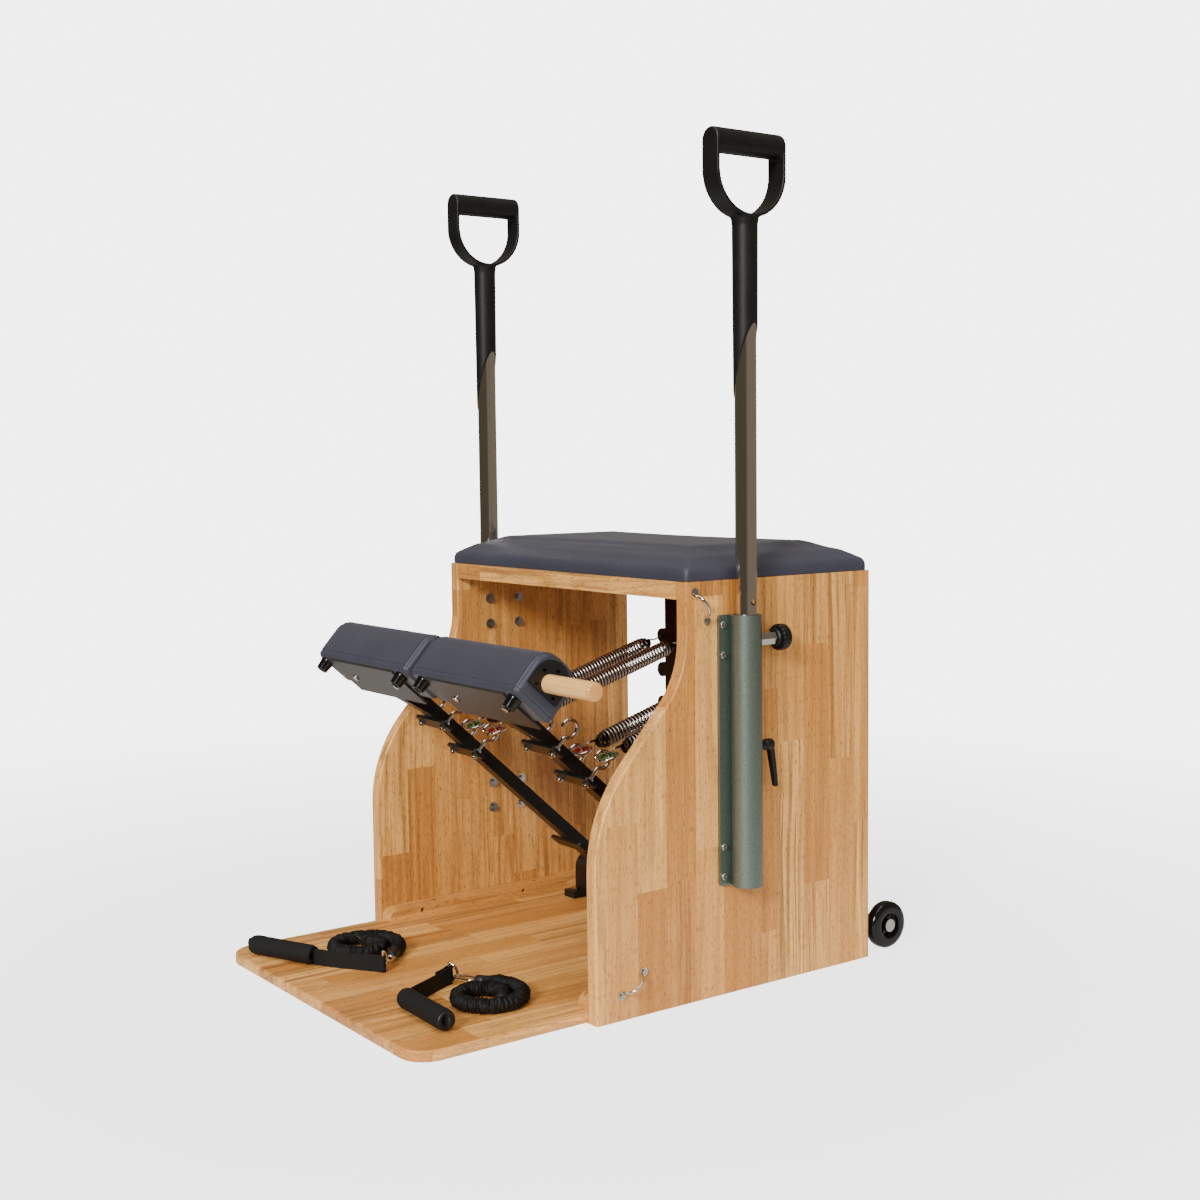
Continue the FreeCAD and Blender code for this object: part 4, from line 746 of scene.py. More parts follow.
# Turned profiles as (radius, height) pairs
CRIMP = (
    (0, -0.0235), (0.0052, -0.0235), (0.0068, -0.0222), (0.0074, -0.019), (0.0076, -0.012),
    (0.0071, -0.0105), (0.0076, -0.009), (0.0082, -0.004), (0.0092, 0.004), (0.0, 0.006))
CORD_CAP = ((0, -0.006), (0.0092, -0.004), (0.0082, 0.003), (0.0075, 0.0065), (0.0058, 0.008), (0, 0.008))
RING_RADIUS, RING_WIRE, RING_STEPS = 0.0062, 0.0012, 10
END_RING = [(RING_RADIUS + RING_WIRE * math.cos(FULL_TURN * step / RING_STEPS),
             RING_WIRE * math.sin(FULL_TURN * step / RING_STEPS)) for step in range(RING_STEPS + 1)]
GRIP_RIM = (
    (0.0062, 0.004), (0.0062, -0.0004), (0.0078, -0.0016), (0.0122, -0.0016), (0.0134, -0.0004),
    (0.0134, 0.004), (0.0062, 0.004))
GRIP_TAB = ((0, -0.012), (0.0055, -0.012), (0.0062, 0.006), (0.0052, 0.0105), (0.003, 0.0125), (0, 0.013))
GRIP_FOAM = (
    [(0.0075, 0.002), (0.0125, 0.0006), (0.0142, 0.0022), (0.0149, 0.006)]
    + [(0.0149 - 0.0004 * math.sin(math.pi * step / 12), 0.006 + 0.103 * step / 12) for step in range(1, 13)]
    + [(0.0147, 0.1125), (0.0138, 0.1158), (0.0118, 0.1172), (0.0075, 0.116), (0.0075, 0.002)])
TAB_SHAPE = Matrix.Diagonal((0.55, 1.5, 1, 1))
RING_REACH, RING_TILT = 0.0125, 0.9
GRIP_LENGTH, GRIP_RISE, GRIP_START = 0.118, 0.015, 0.0033
STRAP_LIFTS, STRAP_THICKNESS = (0.004, 0.017, 0.0035), 0.0017
STRAP_LOOP, STRAP_BOW = 0.0042, 0.0022
# From the spline's first point to the bar of the D ring
BAR_REACH = CRIMP_LENGTH + 0.0003 + 0.002 + 0.036 + 0.0075
# Gathers of the sleeve as shares of its radius, and the length that they take to rise
GATHER_WAIST, GATHER_BASE, GATHER_DEPTH = 0.72, 0.76, 0.30
GATHER_EASE = 0.012


def bungee_line(place, start_angle, turn):
    """Heading at the crimp and the control points of one bungee's spline"""
    spot = math.radians(start_angle)
    centre = Vector((*place, BOARD_TOP + CORD_DIAMETER / 2))
    heading = Vector((-turn * math.sin(spot), turn * math.cos(spot), 0))
    start = centre + Vector((math.cos(spot), math.sin(spot), 0)) * CORD_LOOP
    points = [start - heading * CORD_DIAMETER]
    for index in range(round(CORD_POINTS * CORD_LOOPS) + 1):
        turned_by = min(CORD_LOOPS, index / CORD_POINTS) * FULL_TURN
        radius = CORD_LOOP - CORD_STEP * turned_by / FULL_TURN
        angle = spot + turn * turned_by
        points.append(centre + Vector((math.cos(angle), math.sin(angle), 0)) * radius)
    way = (points[-1] - points[-2]).normalized()
    way.rotate(Matrix.Rotation(turn * CORD_END_TURN, 3, "Z"))
    points.append(points[-1] + way * CORD_DIAMETER)
    return heading, way, points


def new_curve(name, depth, resolution):
    """A curve drawn as a tube of this radius"""
    data = bpy.data.curves.new(name, "CURVE")
    data.dimensions = "3D"
    data.bevel_depth = depth
    data.bevel_resolution = resolution
    data.use_fill_caps = True
    return data


def add_spline(data, kind, points):
    spline = data.splines.new(kind)
    spline.points.add(len(points) - 1)
    for point, spot in zip(spline.points, points):
        point.co = (*spot, 1.0)
    return spline


def curve_mesh(data):
    """The mesh of a curve, which is then removed"""
    obj = linked(data.name, data)
    mesh = evaluated(obj)
    bpy.data.objects.remove(obj)
    bpy.data.curves.remove(data)
    return mesh


def cord_mesh(name, points, depth=0.0):
    """The mesh of one NURBS spline, a bare line where it has no depth"""
    data = new_curve(name, depth, 8)
    spline = add_spline(data, "NURBS", points)
    spline.order_u = 3
    spline.use_endpoint_u = True
    spline.resolution_u = 24
    return curve_mesh(data)


def ruffled_sleeve(name, points, pitch):
    """A gathered fabric tube along a spline, and the line that it follows"""
    line_mesh = cord_mesh(name + "_line", points)
    line = [vert.co.copy() for vert in line_mesh.vertices]
    bpy.data.meshes.remove(line_mesh)
    mesh = cord_mesh(name, points, CORD_DIAMETER / 2)
    finder = kdtree.KDTree(len(line))
    run = [0.0]
    for index, spot in enumerate(line):
        finder.insert(spot, index)
        if index:
            run.append(run[-1] + (spot - line[index - 1]).length)
    finder.balance()
    for vert in mesh.vertices:
        centre, index, _ = finder.find(vert.co)
        along = run[index] / pitch
        sway = noise.noise(vert.co * 80.0) * 1.3 + noise.noise(vert.co * 230.0) * 0.5
        fold = abs(math.sin(math.pi * (along + sway)))
        depth = GATHER_DEPTH + 0.10 * noise.noise(line[index] * 120.0)
        lump = noise.noise(vert.co * 150.0)
        swell = GATHER_BASE + depth * fold ** 0.7 + 0.15 * lump
        ease = min(1.0, run[index] / GATHER_EASE, (run[-1] - run[index]) / GATHER_EASE)
        share = GATHER_WAIST + (swell - GATHER_WAIST) * (0.25 + 0.75 * ease)
        vert.co = centre + (vert.co - centre) * share
        vert.co.z = max(vert.co.z, BOARD_TOP)
    return mesh, line


def strap_path(bar, grip, grip_way):
    """Outline of a strap that loops round the ring's bar and runs into the grip"""
    run = (grip - bar).normalized()
    across = Vector((-run.y, run.x, 0))
    points = [grip + grip_way * 0.018, grip + grip_way * 0.004 + across * 0.0005]
    for share in (0.18, 0.36, 0.54, 0.72, 0.88):
        bow = STRAP_BOW * math.sin(math.pi * share)
        points.append(grip + (bar - grip) * share + across * (0.0012 + bow))
    for step in range(9):
        angle = math.pi / 8 * step
        points.append(bar + across * (STRAP_LOOP * math.cos(angle)) - run * (STRAP_LOOP * math.sin(angle)))
    points.append(bar + run * 0.009 - across * 0.0018)
    points.append(bar + run * 0.032 - across * 0.0014)
    return points


class CHAIR_OT_bungee_sets(bpy.types.Operator):
    """Ruffled bungee cords with their ferrules, end rings, straps and foam grips"""

    bl_idname = "chair.bungee_sets"
    bl_label = "Bungee sets"

    def execute(self, context):
        sizes = context.scene.chair_sizes
        sleeve_finish = woven("ruffled_nylon", (0.0028, 0.0028, 0.0028), 0.0011, 0.5)
        rings, straps, foam, caps = [bmesh.new() for _ in range(4)]
        for side, place, start_angle, turn, grip_place, grip_angle in BUNGEE_SETS:
            heading, way, points = bungee_line(place, start_angle, turn)
            mesh, line = ruffled_sleeve("bungee_sleeve_" + side, points, sizes.ruffle_pitch)
            cord = mesh_piece("bungee_sleeve_" + side, mesh, "frame", "webbing", ["bungee_cord_" + side],
                              sleeve_finish, 60.0)
            ferrules = bmesh.new()
            turned(ferrules, CRIMP, aimed(line[0], heading), 32)
            turned(ferrules, CORD_CAP, aimed(line[-1], way), 32)
            fittings = piece("bungee_ferrules_" + side, ferrules, "frame", "black_plastic", ["bungee_crimps"])
            tilt = Matrix.Rotation(RING_TILT, 4, way)
            turned(rings, END_RING, Matrix.Translation(line[-1] + way * RING_REACH) @ tilt, 28)
            bar = Vector((*(points[0] - heading * BAR_REACH).xy, 0))
            grip = Vector((*grip_place, 0))
            grip_turn = math.radians(grip_angle)
            grip_way = Vector((math.cos(grip_turn), math.sin(grip_turn), 0))
            path = strap_path(bar, grip, grip_way)
            verts = [straps.verts.new((spot.x, spot.y, BOARD_TOP + 0.0004)) for spot in path]
            edges = [straps.edges.new(pair) for pair in zip(verts, verts[1:])]
            for lift in STRAP_LIFTS:
                made = bmesh.ops.extrude_edge_only(straps, edges=edges)["geom"]
                edges = [item for item in made if isinstance(item, bmesh.types.BMEdge)]
                raised = [item for item in made if isinstance(item, bmesh.types.BMVert)]
                bmesh.ops.translate(straps, vec=(0, 0, lift), verts=raised)
            start = Vector((grip.x, grip.y, BOARD_TOP + GRIP_RISE)) + grip_way * GRIP_START
            end = start + grip_way * GRIP_LENGTH
            turned(foam, GRIP_FOAM, aimed(start, grip_way), 48)
            turned(caps, GRIP_RIM, aimed(start, grip_way), 40)
            turned(caps, GRIP_RIM, aimed(end, -grip_way), 40)
            turned(caps, GRIP_TAB, aimed(end, grip_way) @ TAB_SHAPE, 24)
        bmesh.ops.recalc_face_normals(straps, faces=straps.faces)
        bmesh.ops.solidify(straps, geom=straps.faces[:], thickness=STRAP_THICKNESS)
        piece("bungee_end_rings", rings, "frame", "chrome")
        piece("bungee_strap_loops", straps, "frame", "webbing", ["bungee_straps"])
        grips = piece("bungee_grip_foam", foam, "frame", "foam", ["bungee_grips"])
        piece("bungee_grip_caps", caps, "frame", "black_plastic")
        return {"FINISHED"}


# Finishes of the solid pieces

# Axis across the staves, axis along them and seed of each board
GRAIN = {
    "side_panel_left": ("y", "z", 3.3),
    "side_panel_right": ("y", "z", 0.0),
    "base_board": ("x", "y", 1.4),
    "base_cleats": ("x", "y", 7.7),
    "front_rail": ("z", "x", 2.2),
    "rear_rail": ("z", "x", 4.2),
    "seat_board": ("y", "x", 5.1),
}
# Screws of the right pedal beyond this X are black
BLACK_SCREWS_FROM = 0.28


class CHAIR_OT_finishes(bpy.types.Operator):
    """Gives every solid piece of the frame its material"""

    bl_idname = "chair.finishes"
    bl_label = "Finishes"

    def execute(self, context):
        for part in frame["record"]["subparts"]:
            node, slot = part["node"], part["material_slot"]
            material = finish_of(slot)
            if node in GRAIN:
                material = rubberwood("rubberwood_" + node, *GRAIN[node])
            if node == "pedal_screws_right":
                material = bright_metal("pedal_screw_plate", (0.66, 0.625, 0.58), 0.12, 0.2,
                                        BLACK_SCREWS_FROM)
            mesh = frame["nodes"][node].data
            mesh.materials.clear()
            mesh.materials.append(material)
        return {"FINISHED"}


# Upholstery

SEAT_BAND, SEAT_SHOULDER, SEAT_SKIRT = 0.0165, 0.058, 0.012
SEAT_TRIM, SEAT_CORNER, SEAT_VOXEL = 0.004, 0.006, 0.006
# Share of the shoulder's width and rise of each step up to the crown
SEAT_STEPS = ((0.45, 0.0155), (0.55, 0.0085))
BOARD_MARGIN = 0.003
STITCH_THICKNESS, STITCH_PROUD, STITCH_EASE = 0.0007, 0.0001, 0.0004
PAD_VOXEL, PAD_INSET, PAD_CREST, PAD_HEM = 0.005, 0.0025, 0.026, 0.004
BORE_HOLD = 0.028
# Sewn seams near the pad's ends and the hem above its plate
SEAM_EDGE, SEAM_LIMIT, SEAM_DEPTH = 0.0024, 0.0023, 0.0013
SEAM_CUTS = (-SEAM_EDGE, -0.001, 0.0, 0.001, SEAM_EDGE)
STITCH_ROWS, STITCH_LOWEST = (-0.0036, 0.0036), 0.012
HEM_RISE, HEM_EDGE, HEM_LIMIT, HEM_DEPTH = 0.0095, 0.0016, 0.0015, 0.0009


class CHAIR_OT_seat_cushion(bpy.types.Operator):
    """Crowned seat cushion with a straight band, drawn over its board"""

    bl_idname = "chair.seat_cushion"
    bl_label = "Seat cushion"

    def execute(self, context):
        low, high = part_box("seat_cushion")
        board_low, board_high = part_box("seat_board")
        size = high - low
        bm = bmesh.new()
        block(bm, ((low.x + high.x) / 2, (low.y + high.y) / 2, low.z + (SEAT_BAND - SEAT_SKIRT) / 2),
              size.x - SEAT_TRIM, size.y - SEAT_TRIM, SEAT_BAND + SEAT_SKIRT)
        crown = max(bm.faces, key=lambda face: face.calc_center_median().z)
        for share, rise in SEAT_STEPS:
            inset(bm, [crown], SEAT_SHOULDER * share, rise)
        corners = [edge for edge in bm.edges
                   if abs(edge.verts[0].co.z - edge.verts[1].co.z) > SEAT_BAND * 0.9
                   and max(vert.co.z for vert in edge.verts) < low.z + SEAT_BAND * 1.1]
        eased(bm, corners, SEAT_CORNER, 3)
        mesh = swollen("seat_cover", bm, SEAT_VOXEL, context.scene.chair_sizes.seat_swell,
                       lambda spot: spot.z < low.z + SEAT_BAND * 0.6)
        for vert in mesh.vertices:
            vert.co.z = min(max(vert.co.z, low.z + 0.0002), high.z + 0.003)
            inside = (board_low.x - BOARD_MARGIN < vert.co.x < board_high.x + BOARD_MARGIN
                      and board_low.y - BOARD_MARGIN < vert.co.y < board_high.y + BOARD_MARGIN)
            if vert.co.z < low.z + 0.001 and inside:
                vert.co.z = low.z + 0.0016
        cover = mesh_piece("seat_cover", mesh, "frame", "vinyl", ["seat_cushion"], smooth=60.0)
        return {"FINISHED"}


def section(mesh, x):
    """Ordered points and normals of a mesh where the plane of this x cuts it"""
    bm = bmesh.new()
    bm.from_mesh(mesh)
    cut = sliced(bm, (x, 0, 0), (1, 0, 0))["geom_cut"]
    edges = {item for item in cut if isinstance(item, bmesh.types.BMEdge)}
    start = min(edges, key=lambda edge: edge.verts[0].co.z)
    loop = [start.verts[0], start.verts[1]]
    used = {start}
    while True:
        link = next((edge for edge in loop[-1].link_edges if edge in edges and edge not in used), None)
        if link is None:
            break
        used.add(link)
        loop.append(link.other_vert(loop[-1]))
    bm.normal_update()
    points = [(vert.co.copy(), vert.normal.copy()) for vert in loop]
    bm.free()
    return points


def sew(bm, points, inward, sizes, lowest):
    """Lays stitches along a line of points just proud of the cover"""
    pitch = sizes.stitch_length + sizes.stitch_gap
    travel, target = 0.0, pitch / 2
    for (spot, normal), (ahead, next_normal) in zip(points, points[1:]):
        step = ahead - spot
        while step.length and travel + step.length >= target:
            share = (target - travel) / step.length
            place = spot + step * share
            target += pitch
            if (inward @ place).z < lowest:
                continue
            out = normal.lerp(next_normal, share).normalized()
            way = step.normalized()
            turn = Matrix((way, out.cross(way), out)).transposed().to_4x4()
            matrix = (Matrix.Translation(place + out * STITCH_PROUD) @ turn
                      @ Matrix.Diagonal((sizes.stitch_length, STITCH_THICKNESS, STITCH_THICKNESS, 1)))
            made = bmesh.ops.create_cube(bm, size=1.0, matrix=matrix)["verts"]
            edges = {edge for vert in made for edge in vert.link_edges}
            tops = [edge for edge in edges
                    if all((vert.co - place).dot(out) > 0 for vert in edge.verts)
                    and abs((edge.verts[0].co - edge.verts[1].co).normalized().dot(way)) < 0.1]
            eased(bm, tops, STITCH_EASE, 1)
        travel += step.length


def long_edges(bm, fits):
    """Edges that run across the pad and whose ends have a fitting height"""
    return [edge for edge in bm.edges if all(fits(vert.co.z) for vert in edge.verts)
            and abs(edge.verts[0].co.x - edge.verts[1].co.x) > 0.1]


def pedal_pad(side, sign, sizes, thread):
    """One pad: cover drawn over its foam, seams, hem, bore and stitches"""
    bm = bmesh.new()
    ends = sorted((sign * (PAD_INNER + 0.0012), sign * (PAD_OUTER - 0.0012)))
    top = PAD_HEIGHT - 0.005
    block(bm, ((ends[0] + ends[1]) / 2, PAD_WIDTH / 2, top / 2),
          ends[1] - ends[0], PAD_WIDTH - 2 * PAD_INSET, top)
    eased(bm, long_edges(bm, lambda rise: rise > top * 0.9), PAD_CREST, 8)
    eased(bm, long_edges(bm, lambda rise: rise < 0.001), PAD_HEM, 2)
    inner_end = ends[0] if sign > 0 else ends[1]

    def held(spot):
        at_end = min(abs(spot.x - ends[0]), abs(spot.x - ends[1])) < 0.003
        near_bore = math.hypot(spot.y - DOWEL_FRONT, spot.z - DOWEL_RISE) < BORE_HOLD
        return spot.z < 0.003 or (at_end and (near_bore or abs(spot.x - inner_end) < 0.003))

    mesh = swollen("pad_cover_" + side, bm, PAD_VOXEL, sizes.pad_swell, held)
    limits = sorted((sign * (PAD_INNER + 0.0006), sign * (PAD_OUTER - 0.0002)))
    bm = bmesh.new()
    bm.from_mesh(mesh)
    bpy.data.meshes.remove(mesh)
    seams = (ends[0] + sizes.seam_inset, ends[1] - sizes.seam_inset)
    for seam in seams:
        for shift in SEAM_CUTS:
            sliced(bm, (seam + shift, 0, 0), (1, 0, 0))
    for shift in (-HEM_EDGE, 0.0, HEM_EDGE):
        sliced(bm, (0, 0, HEM_RISE + shift), (0, 0, 1))
    bm.normal_update()
    sunk = []
    for vert in bm.verts:
        vert.co.x = min(max(vert.co.x, limits[0]), limits[1])
        vert.co.z = max(vert.co.z, 0.0004)
        gap = min(abs(vert.co.x - seam) for seam in seams)
        if gap < SEAM_LIMIT and vert.co.z > 0.002:
            sunk.append((vert, SEAM_DEPTH * (1 - gap / SEAM_EDGE) ** 2))
        hem = abs(vert.co.z - HEM_RISE)
        if hem < HEM_LIMIT and abs(vert.normal.z) < 0.7:
            sunk.append((vert, HEM_DEPTH * (1 - hem / HEM_EDGE)))
    for vert, depth in sunk:
        vert.co -= vert.normal * depth
    cover = loose_object("pad_cover_" + side, bm)
    cutter_mesh = bmesh.new()
    rod(cutter_mesh, (ends[0] - 0.01, DOWEL_FRONT, DOWEL_RISE),
        (ends[1] + 0.01, DOWEL_FRONT, DOWEL_RISE), DOWEL_BORE, 48)
    cutter = loose_object("bore", cutter_mesh)
    bore = cover.modifiers.new("bore", "BOOLEAN")
    bore.operation = "DIFFERENCE"
    bore.object = cutter
    bore.solver = "EXACT"
    mesh = applied(cover)
    bpy.data.objects.remove(cover)
    bpy.data.objects.remove(cutter)
    mesh.transform(PEDAL)
    pad = mesh_piece("pad_cover_" + side, mesh, "pedal_" + side, "vinyl", ["pedal_pad_" + side],
                     smooth=50.0)
    stitches = bmesh.new()
    for seam in seams:
        for shift in STITCH_ROWS:
            sew(stitches, section(mesh, seam + shift), PEDAL.inverted(), sizes, STITCH_LOWEST)
    piece("pad_stitching_" + side, stitches, "pedal_" + side, "vinyl", material=thread, smooth=20.0)


class CHAIR_OT_pedal_pads(bpy.types.Operator):
    """Pedal pads with crowned covers, sewn end panels and a bore for the dowel"""

    bl_idname = "chair.pedal_pads"
    bl_label = "Pedal pads"

    def execute(self, context):
        sizes = context.scene.chair_sizes
        thread = moulded_plastic("seam_thread", tuple(context.scene.chair_colours.thread), 0.5, 1200.0, 0.2)
        for side, sign in SIDES:
            pedal_pad(side, sign, sizes, thread)
        return {"FINISHED"}


# Springs

HOOK_MIDDLE, HOOK_RADIUS = 0.0256, 0.007
COIL_STEPS, COIL_TIP, CONE_SHARE = 18, 0.005, 0.06
TAIL_REACH, TAIL_BEND, TAIL_END = 0.009, 0.005, 0.014
# Share that the hook and tail take, which paints them with the full painted highlight
TAIL_HIGHLIGHT = 0.9


def spring_points(x, sizes):
    """Points of one spring's wire: front hook, coil with coned ends, rear tail"""
    up = SPRING_WAY.cross(Vector((1, 0, 0))).normalized()
    if up.z < 0:
        up = -up
    side = Vector((1, 0, 0))
    origin = SPRING_FRONT + side * x

    def spot(along, across, lift):
        return origin + SPRING_WAY * along + side * across + up * lift

    points = []
    for step in range(23):
        angle = math.radians(-50 - 10 * step)
        points.append(spot(HOOK_MIDDLE + HOOK_RADIUS * math.cos(angle), 0, HOOK_RADIUS * math.sin(angle)))
    steps = sizes.spring_turns * COIL_STEPS
    widest = (sizes.spring_coil - sizes.spring_wire) / 2
    for index in range(steps + 1):
        share = index / steps
        near_end = min(1.0, min(share, 1 - share) / CONE_SHARE)
        radius = COIL_TIP + (widest - COIL_TIP) * math.sin(near_end * math.pi / 2) ** 0.8
        angle = math.pi / 2 + FULL_TURN * sizes.spring_turns * share
        points.append(spot(COIL_FRONT + (COIL_REAR - COIL_FRONT) * share, radius * math.cos(angle),
                           radius * math.sin(angle)))
    points.append(spot(COIL_REAR + 0.007, 0, 0.002))
    points.append(spot(COIL_REAR + 0.014, 0, 0))
    points.append(spot(SPRING_LENGTH + TAIL_REACH, 0, 0))
    for step in range(1, 5):
        angle = math.pi / 8 * step
        points.append(spot(SPRING_LENGTH + TAIL_REACH + TAIL_BEND * math.sin(angle), 0,
                           TAIL_BEND - TAIL_BEND * math.cos(angle)))
    points.append(spot(SPRING_LENGTH + TAIL_END, 0, 0.0075))
    return points


class CHAIR_OT_springs(bpy.types.Operator):
    """Wound tension springs that stretch between pedal and rear post"""

    bl_idname = "chair.springs"
    bl_label = "Springs"

    def execute(self, context):
        sizes = context.scene.chair_sizes
        for side, sign in SIDES:
            name = "spring_coils_" + side
            data = new_curve(name, sizes.spring_wire / 2, 2)
            for step in (-1, 1):
                points = spring_points(sign * ARM_X + step * SPRING_X, sizes)
                spline = add_spline(data, "POLY", points)
                for point, place in zip(spline.points, points):
                    if not COIL_FRONT <= (place - SPRING_FRONT).dot(SPRING_WAY) <= COIL_REAR:
                        point.radius = TAIL_SHARE
            mesh = curve_mesh(data)
            # Share of the wire's reach from the spring's axis, 1 on the outer face and 0 on the inner face;
            # the material paints a highlight where it is high and shade where it is low
            crest = mesh.attributes.new("crest", "FLOAT", "POINT")
            for index, vert in enumerate(mesh.vertices):
                across = abs(abs(vert.co.x) - ARM_X) - SPRING_X
                reach = Vector((across, *(vert.co - SPRING_FRONT).yz))
                along = reach.dot(SPRING_WAY)
                reach -= SPRING_WAY * along
                crest.data[index].value = (reach.length - sizes.spring_coil / 2) / sizes.spring_wire + 1.0
                if not COIL_FRONT < along < COIL_REAR:
                    crest.data[index].value = TAIL_HIGHLIGHT
            coils = mesh_piece(name, mesh, None, "spring_steel", ["springs_" + side], coiled_steel(), 60.0)
            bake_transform(coils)
        return {"FINISHED"}


# Handles, knobs, levers, wheels and bumpers

HANDLE_STRAP, HANDLE_WIDTH, HANDLE_GRIP = 0.005, 0.034, 0.0175
HANDLE_RISE = 0.039
HANDLE_VOXEL = 0.0014
# Slanted lower edge of the handle's stem: the way that it rises, its run and its rise
SLANT_HEADING = math.radians(17)
SLANT_RUN, SLANT_RISE = 0.034, 0.110
STEM_RADIUS = 0.017
KNOB_LENGTH, KNOB_FACES, KNOB_EASE = 0.0155, 54, 0.0032
COLLAR_REACH = 0.020
# Turned profiles as (radius, height) pairs
COLLAR = (
    (0.0034, 0), (0.0122, 0), (0.0138, 0.0012), (0.0138, 0.0034), (0.0128, 0.0042), (0.0128, 0.0062),
    (0.0034, 0.0062))
LEVER_HUB = (
    (0, 0), (0.0062, 0), (0.0074, 0.001), (0.0074, 0.0075), (0.0064, 0.0085), (0.0064, 0.0105),
    (0.0083, 0.0122), (0.0085, 0.022), (0.0074, 0.0252), (0.004, 0.026), (0, 0.026))
BUMPER = (
    (0, 0.0), (0.0098, 0.0), (0.0109, -0.0008), (0.0109, -0.0026), (0.0104, -0.0034), (0.0089, -0.0166),
    (0.0082, -0.0178), (0.0066, -0.018), (0.0058, -0.0168), (0.0052, -0.0142), (0, -0.0138))
BUMPER_X, BUMPER_FRONT = 0.119, 0.018
HUB_START, HUB_END, HUB_DROP = 0.1513, 0.1773, 0.0085
# Half width, thickness and flare of the lever's arm at its tip and at its hub
LEVER_TIP, LEVER_ROOT = (0.0046, 0.0065, 0.0122), (0.0062, 0.0092, 0.0)
LEVER_VOXEL, LEVER_EASE = 0.0009, 0.0024
# Radius and depth under the wheel's side
WHEEL_DISH = (
    (0.0102, 0.0066), (0.0104, 0.0079), (0.0116, 0.0079), (0.0168, 0.0079), (0.0180, 0.0079),
    (0.0187, 0.0072), (0.0190, 0.0012), (0.0202, 0.0002))
WHEEL_BORE, WHEEL_HUB, TYRE_START = 0.0045, 0.0098, 0.0225
HUB_OUTER, HUB_INNER, TYRE_TRIM = 0.0062, 0.0002, 0.0002
POCKETS, POCKET_NEAR, POCKET_FAR = 6, 0.0117, 0.0167


def handle(side):
    """One D handle: spun strap, bar and slanted stem melted into one moulding"""
    low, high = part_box("handle_" + side)
    x, y = (low.x + high.x) / 2, (low.y + high.y) / 2
    outer = (high.y - low.y) / 2
    bar_z = high.z - HANDLE_GRIP
    centre_z = bar_z - HANDLE_RISE
    middle_radius = outer - HANDLE_STRAP / 2
    bm = bmesh.new()
    face = sized((x, y - middle_radius, centre_z), HANDLE_WIDTH, HANDLE_STRAP, 1)
    band = bmesh.ops.create_grid(bm, x_segments=1, y_segments=1, size=0.5, matrix=face)["verts"]
    edges = list({edge for vert in band for edge in vert.link_edges})
    bmesh.ops.spin(bm, geom=band + edges + bm.faces[:], cent=(x, y, centre_z), axis=(1, 0, 0),
                   dvec=(0, 0, 0), angle=math.pi, steps=32)
    for step in (-1, 1):
        block(bm, (x, y + step * middle_radius, (centre_z + bar_z) / 2),
              HANDLE_WIDTH, HANDLE_STRAP, bar_z - centre_z + 0.002)
    bmesh.ops.recalc_face_normals(bm, faces=bm.faces)
    grip = [(0, -outer), (0.0158, -outer), (HANDLE_GRIP, -outer + 0.0018),
            (HANDLE_GRIP, outer - 0.0018), (0.0158, outer), (0, outer)]
    turned(bm, grip, aimed((x, y, bar_z), (0, 1, 0)), 40)
    bottom = centre_z - middle_radius
    neck = [(0, low.z - 0.03), (STEM_RADIUS, low.z - 0.03), (0.0182, bottom - 0.012),
            (0.0196, bottom - 0.002), (0.0196, bottom), (0, bottom)]
    stem = bmesh.new()
    turned(stem, neck, Matrix.Translation((x, y, 0)), 64)
    high_side = Vector((math.cos(SLANT_HEADING), math.sin(SLANT_HEADING), 0))
    tip = Vector((x, y, low.z)) - high_side * STEM_RADIUS
    sliced(stem, tip, UP * SLANT_RUN - high_side * SLANT_RISE, 1e-6, clear_inner=True)
    bmesh.ops.holes_fill(stem, edges=[edge for edge in stem.edges if edge.is_boundary])
    stem_mesh = mesh_of("stem", stem)
    bm.from_mesh(stem_mesh)
    bpy.data.meshes.remove(stem_mesh)
    name = "handle_moulding_" + side
    mesh_piece(name, moulded(name, bm, HANDLE_VOXEL, 3), "post_" + side, "black_plastic",
               ["handle_" + side], smooth=50)


class CHAIR_OT_handles(bpy.types.Operator):
    """Moulded D handles on the posts"""

    bl_idname = "chair.handles"
    bl_label = "Handles"

    def execute(self, context):
        for side, _ in SIDES:
            handle(side)
        return {"FINISHED"}


def pull_knob(side):
    """One fluted knob on its pin and collar"""
    low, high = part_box("plunger_" + side)
    x, z = (low.x + high.x) / 2, (low.z + high.z) / 2
    radius = (high.z - low.z) / 2
    front = high.y - COLLAR_REACH
    place = aimed((x, high.y - KNOB_LENGTH / 2, z), (0, 1, 0))
    bm = bmesh.new()
    bmesh.ops.create_cone(bm, cap_ends=True, segments=KNOB_FACES, radius1=radius, radius2=radius,
                          depth=KNOB_LENGTH, matrix=place)
    back = place.inverted()
    flutes = []
    for face in bm.faces:
        if len(face.verts) == 4:
            spot = back @ face.calc_center_median()
            if round(math.atan2(spot.y, spot.x) / FULL_TURN * KNOB_FACES - 0.5) % 3 == 0:
                flutes.append(face)
    bmesh.ops.inset_individual(bm, faces=flutes, thickness=0.0005, depth=-0.0012)
    for cap in [face for face in bm.faces if len(face.verts) > 8]:
        inset(bm, [cap], 0.0024, 0.0)
        inset(bm, [cap], 0.004, -0.0008)
    rims = [edge for edge in bm.edges
            if all(abs(abs((back @ vert.co).z) - KNOB_LENGTH / 2) < 1e-5
                   and (back @ vert.co).xy.length > radius - 1e-4 for vert in edge.verts)]
    eased(bm, rims, KNOB_EASE, 4)
    bmesh.ops.recalc_face_normals(bm, faces=bm.faces)
    rod(bm, (x, low.y, z), (x, front + 0.001, z), 0.0035)
    turned(bm, COLLAR, aimed((x, front, z), (0, 1, 0)), 40)
    piece("pull_knob_" + side, bm, "plunger_" + side, "black_plastic", ["plunger_" + side], smooth=30)


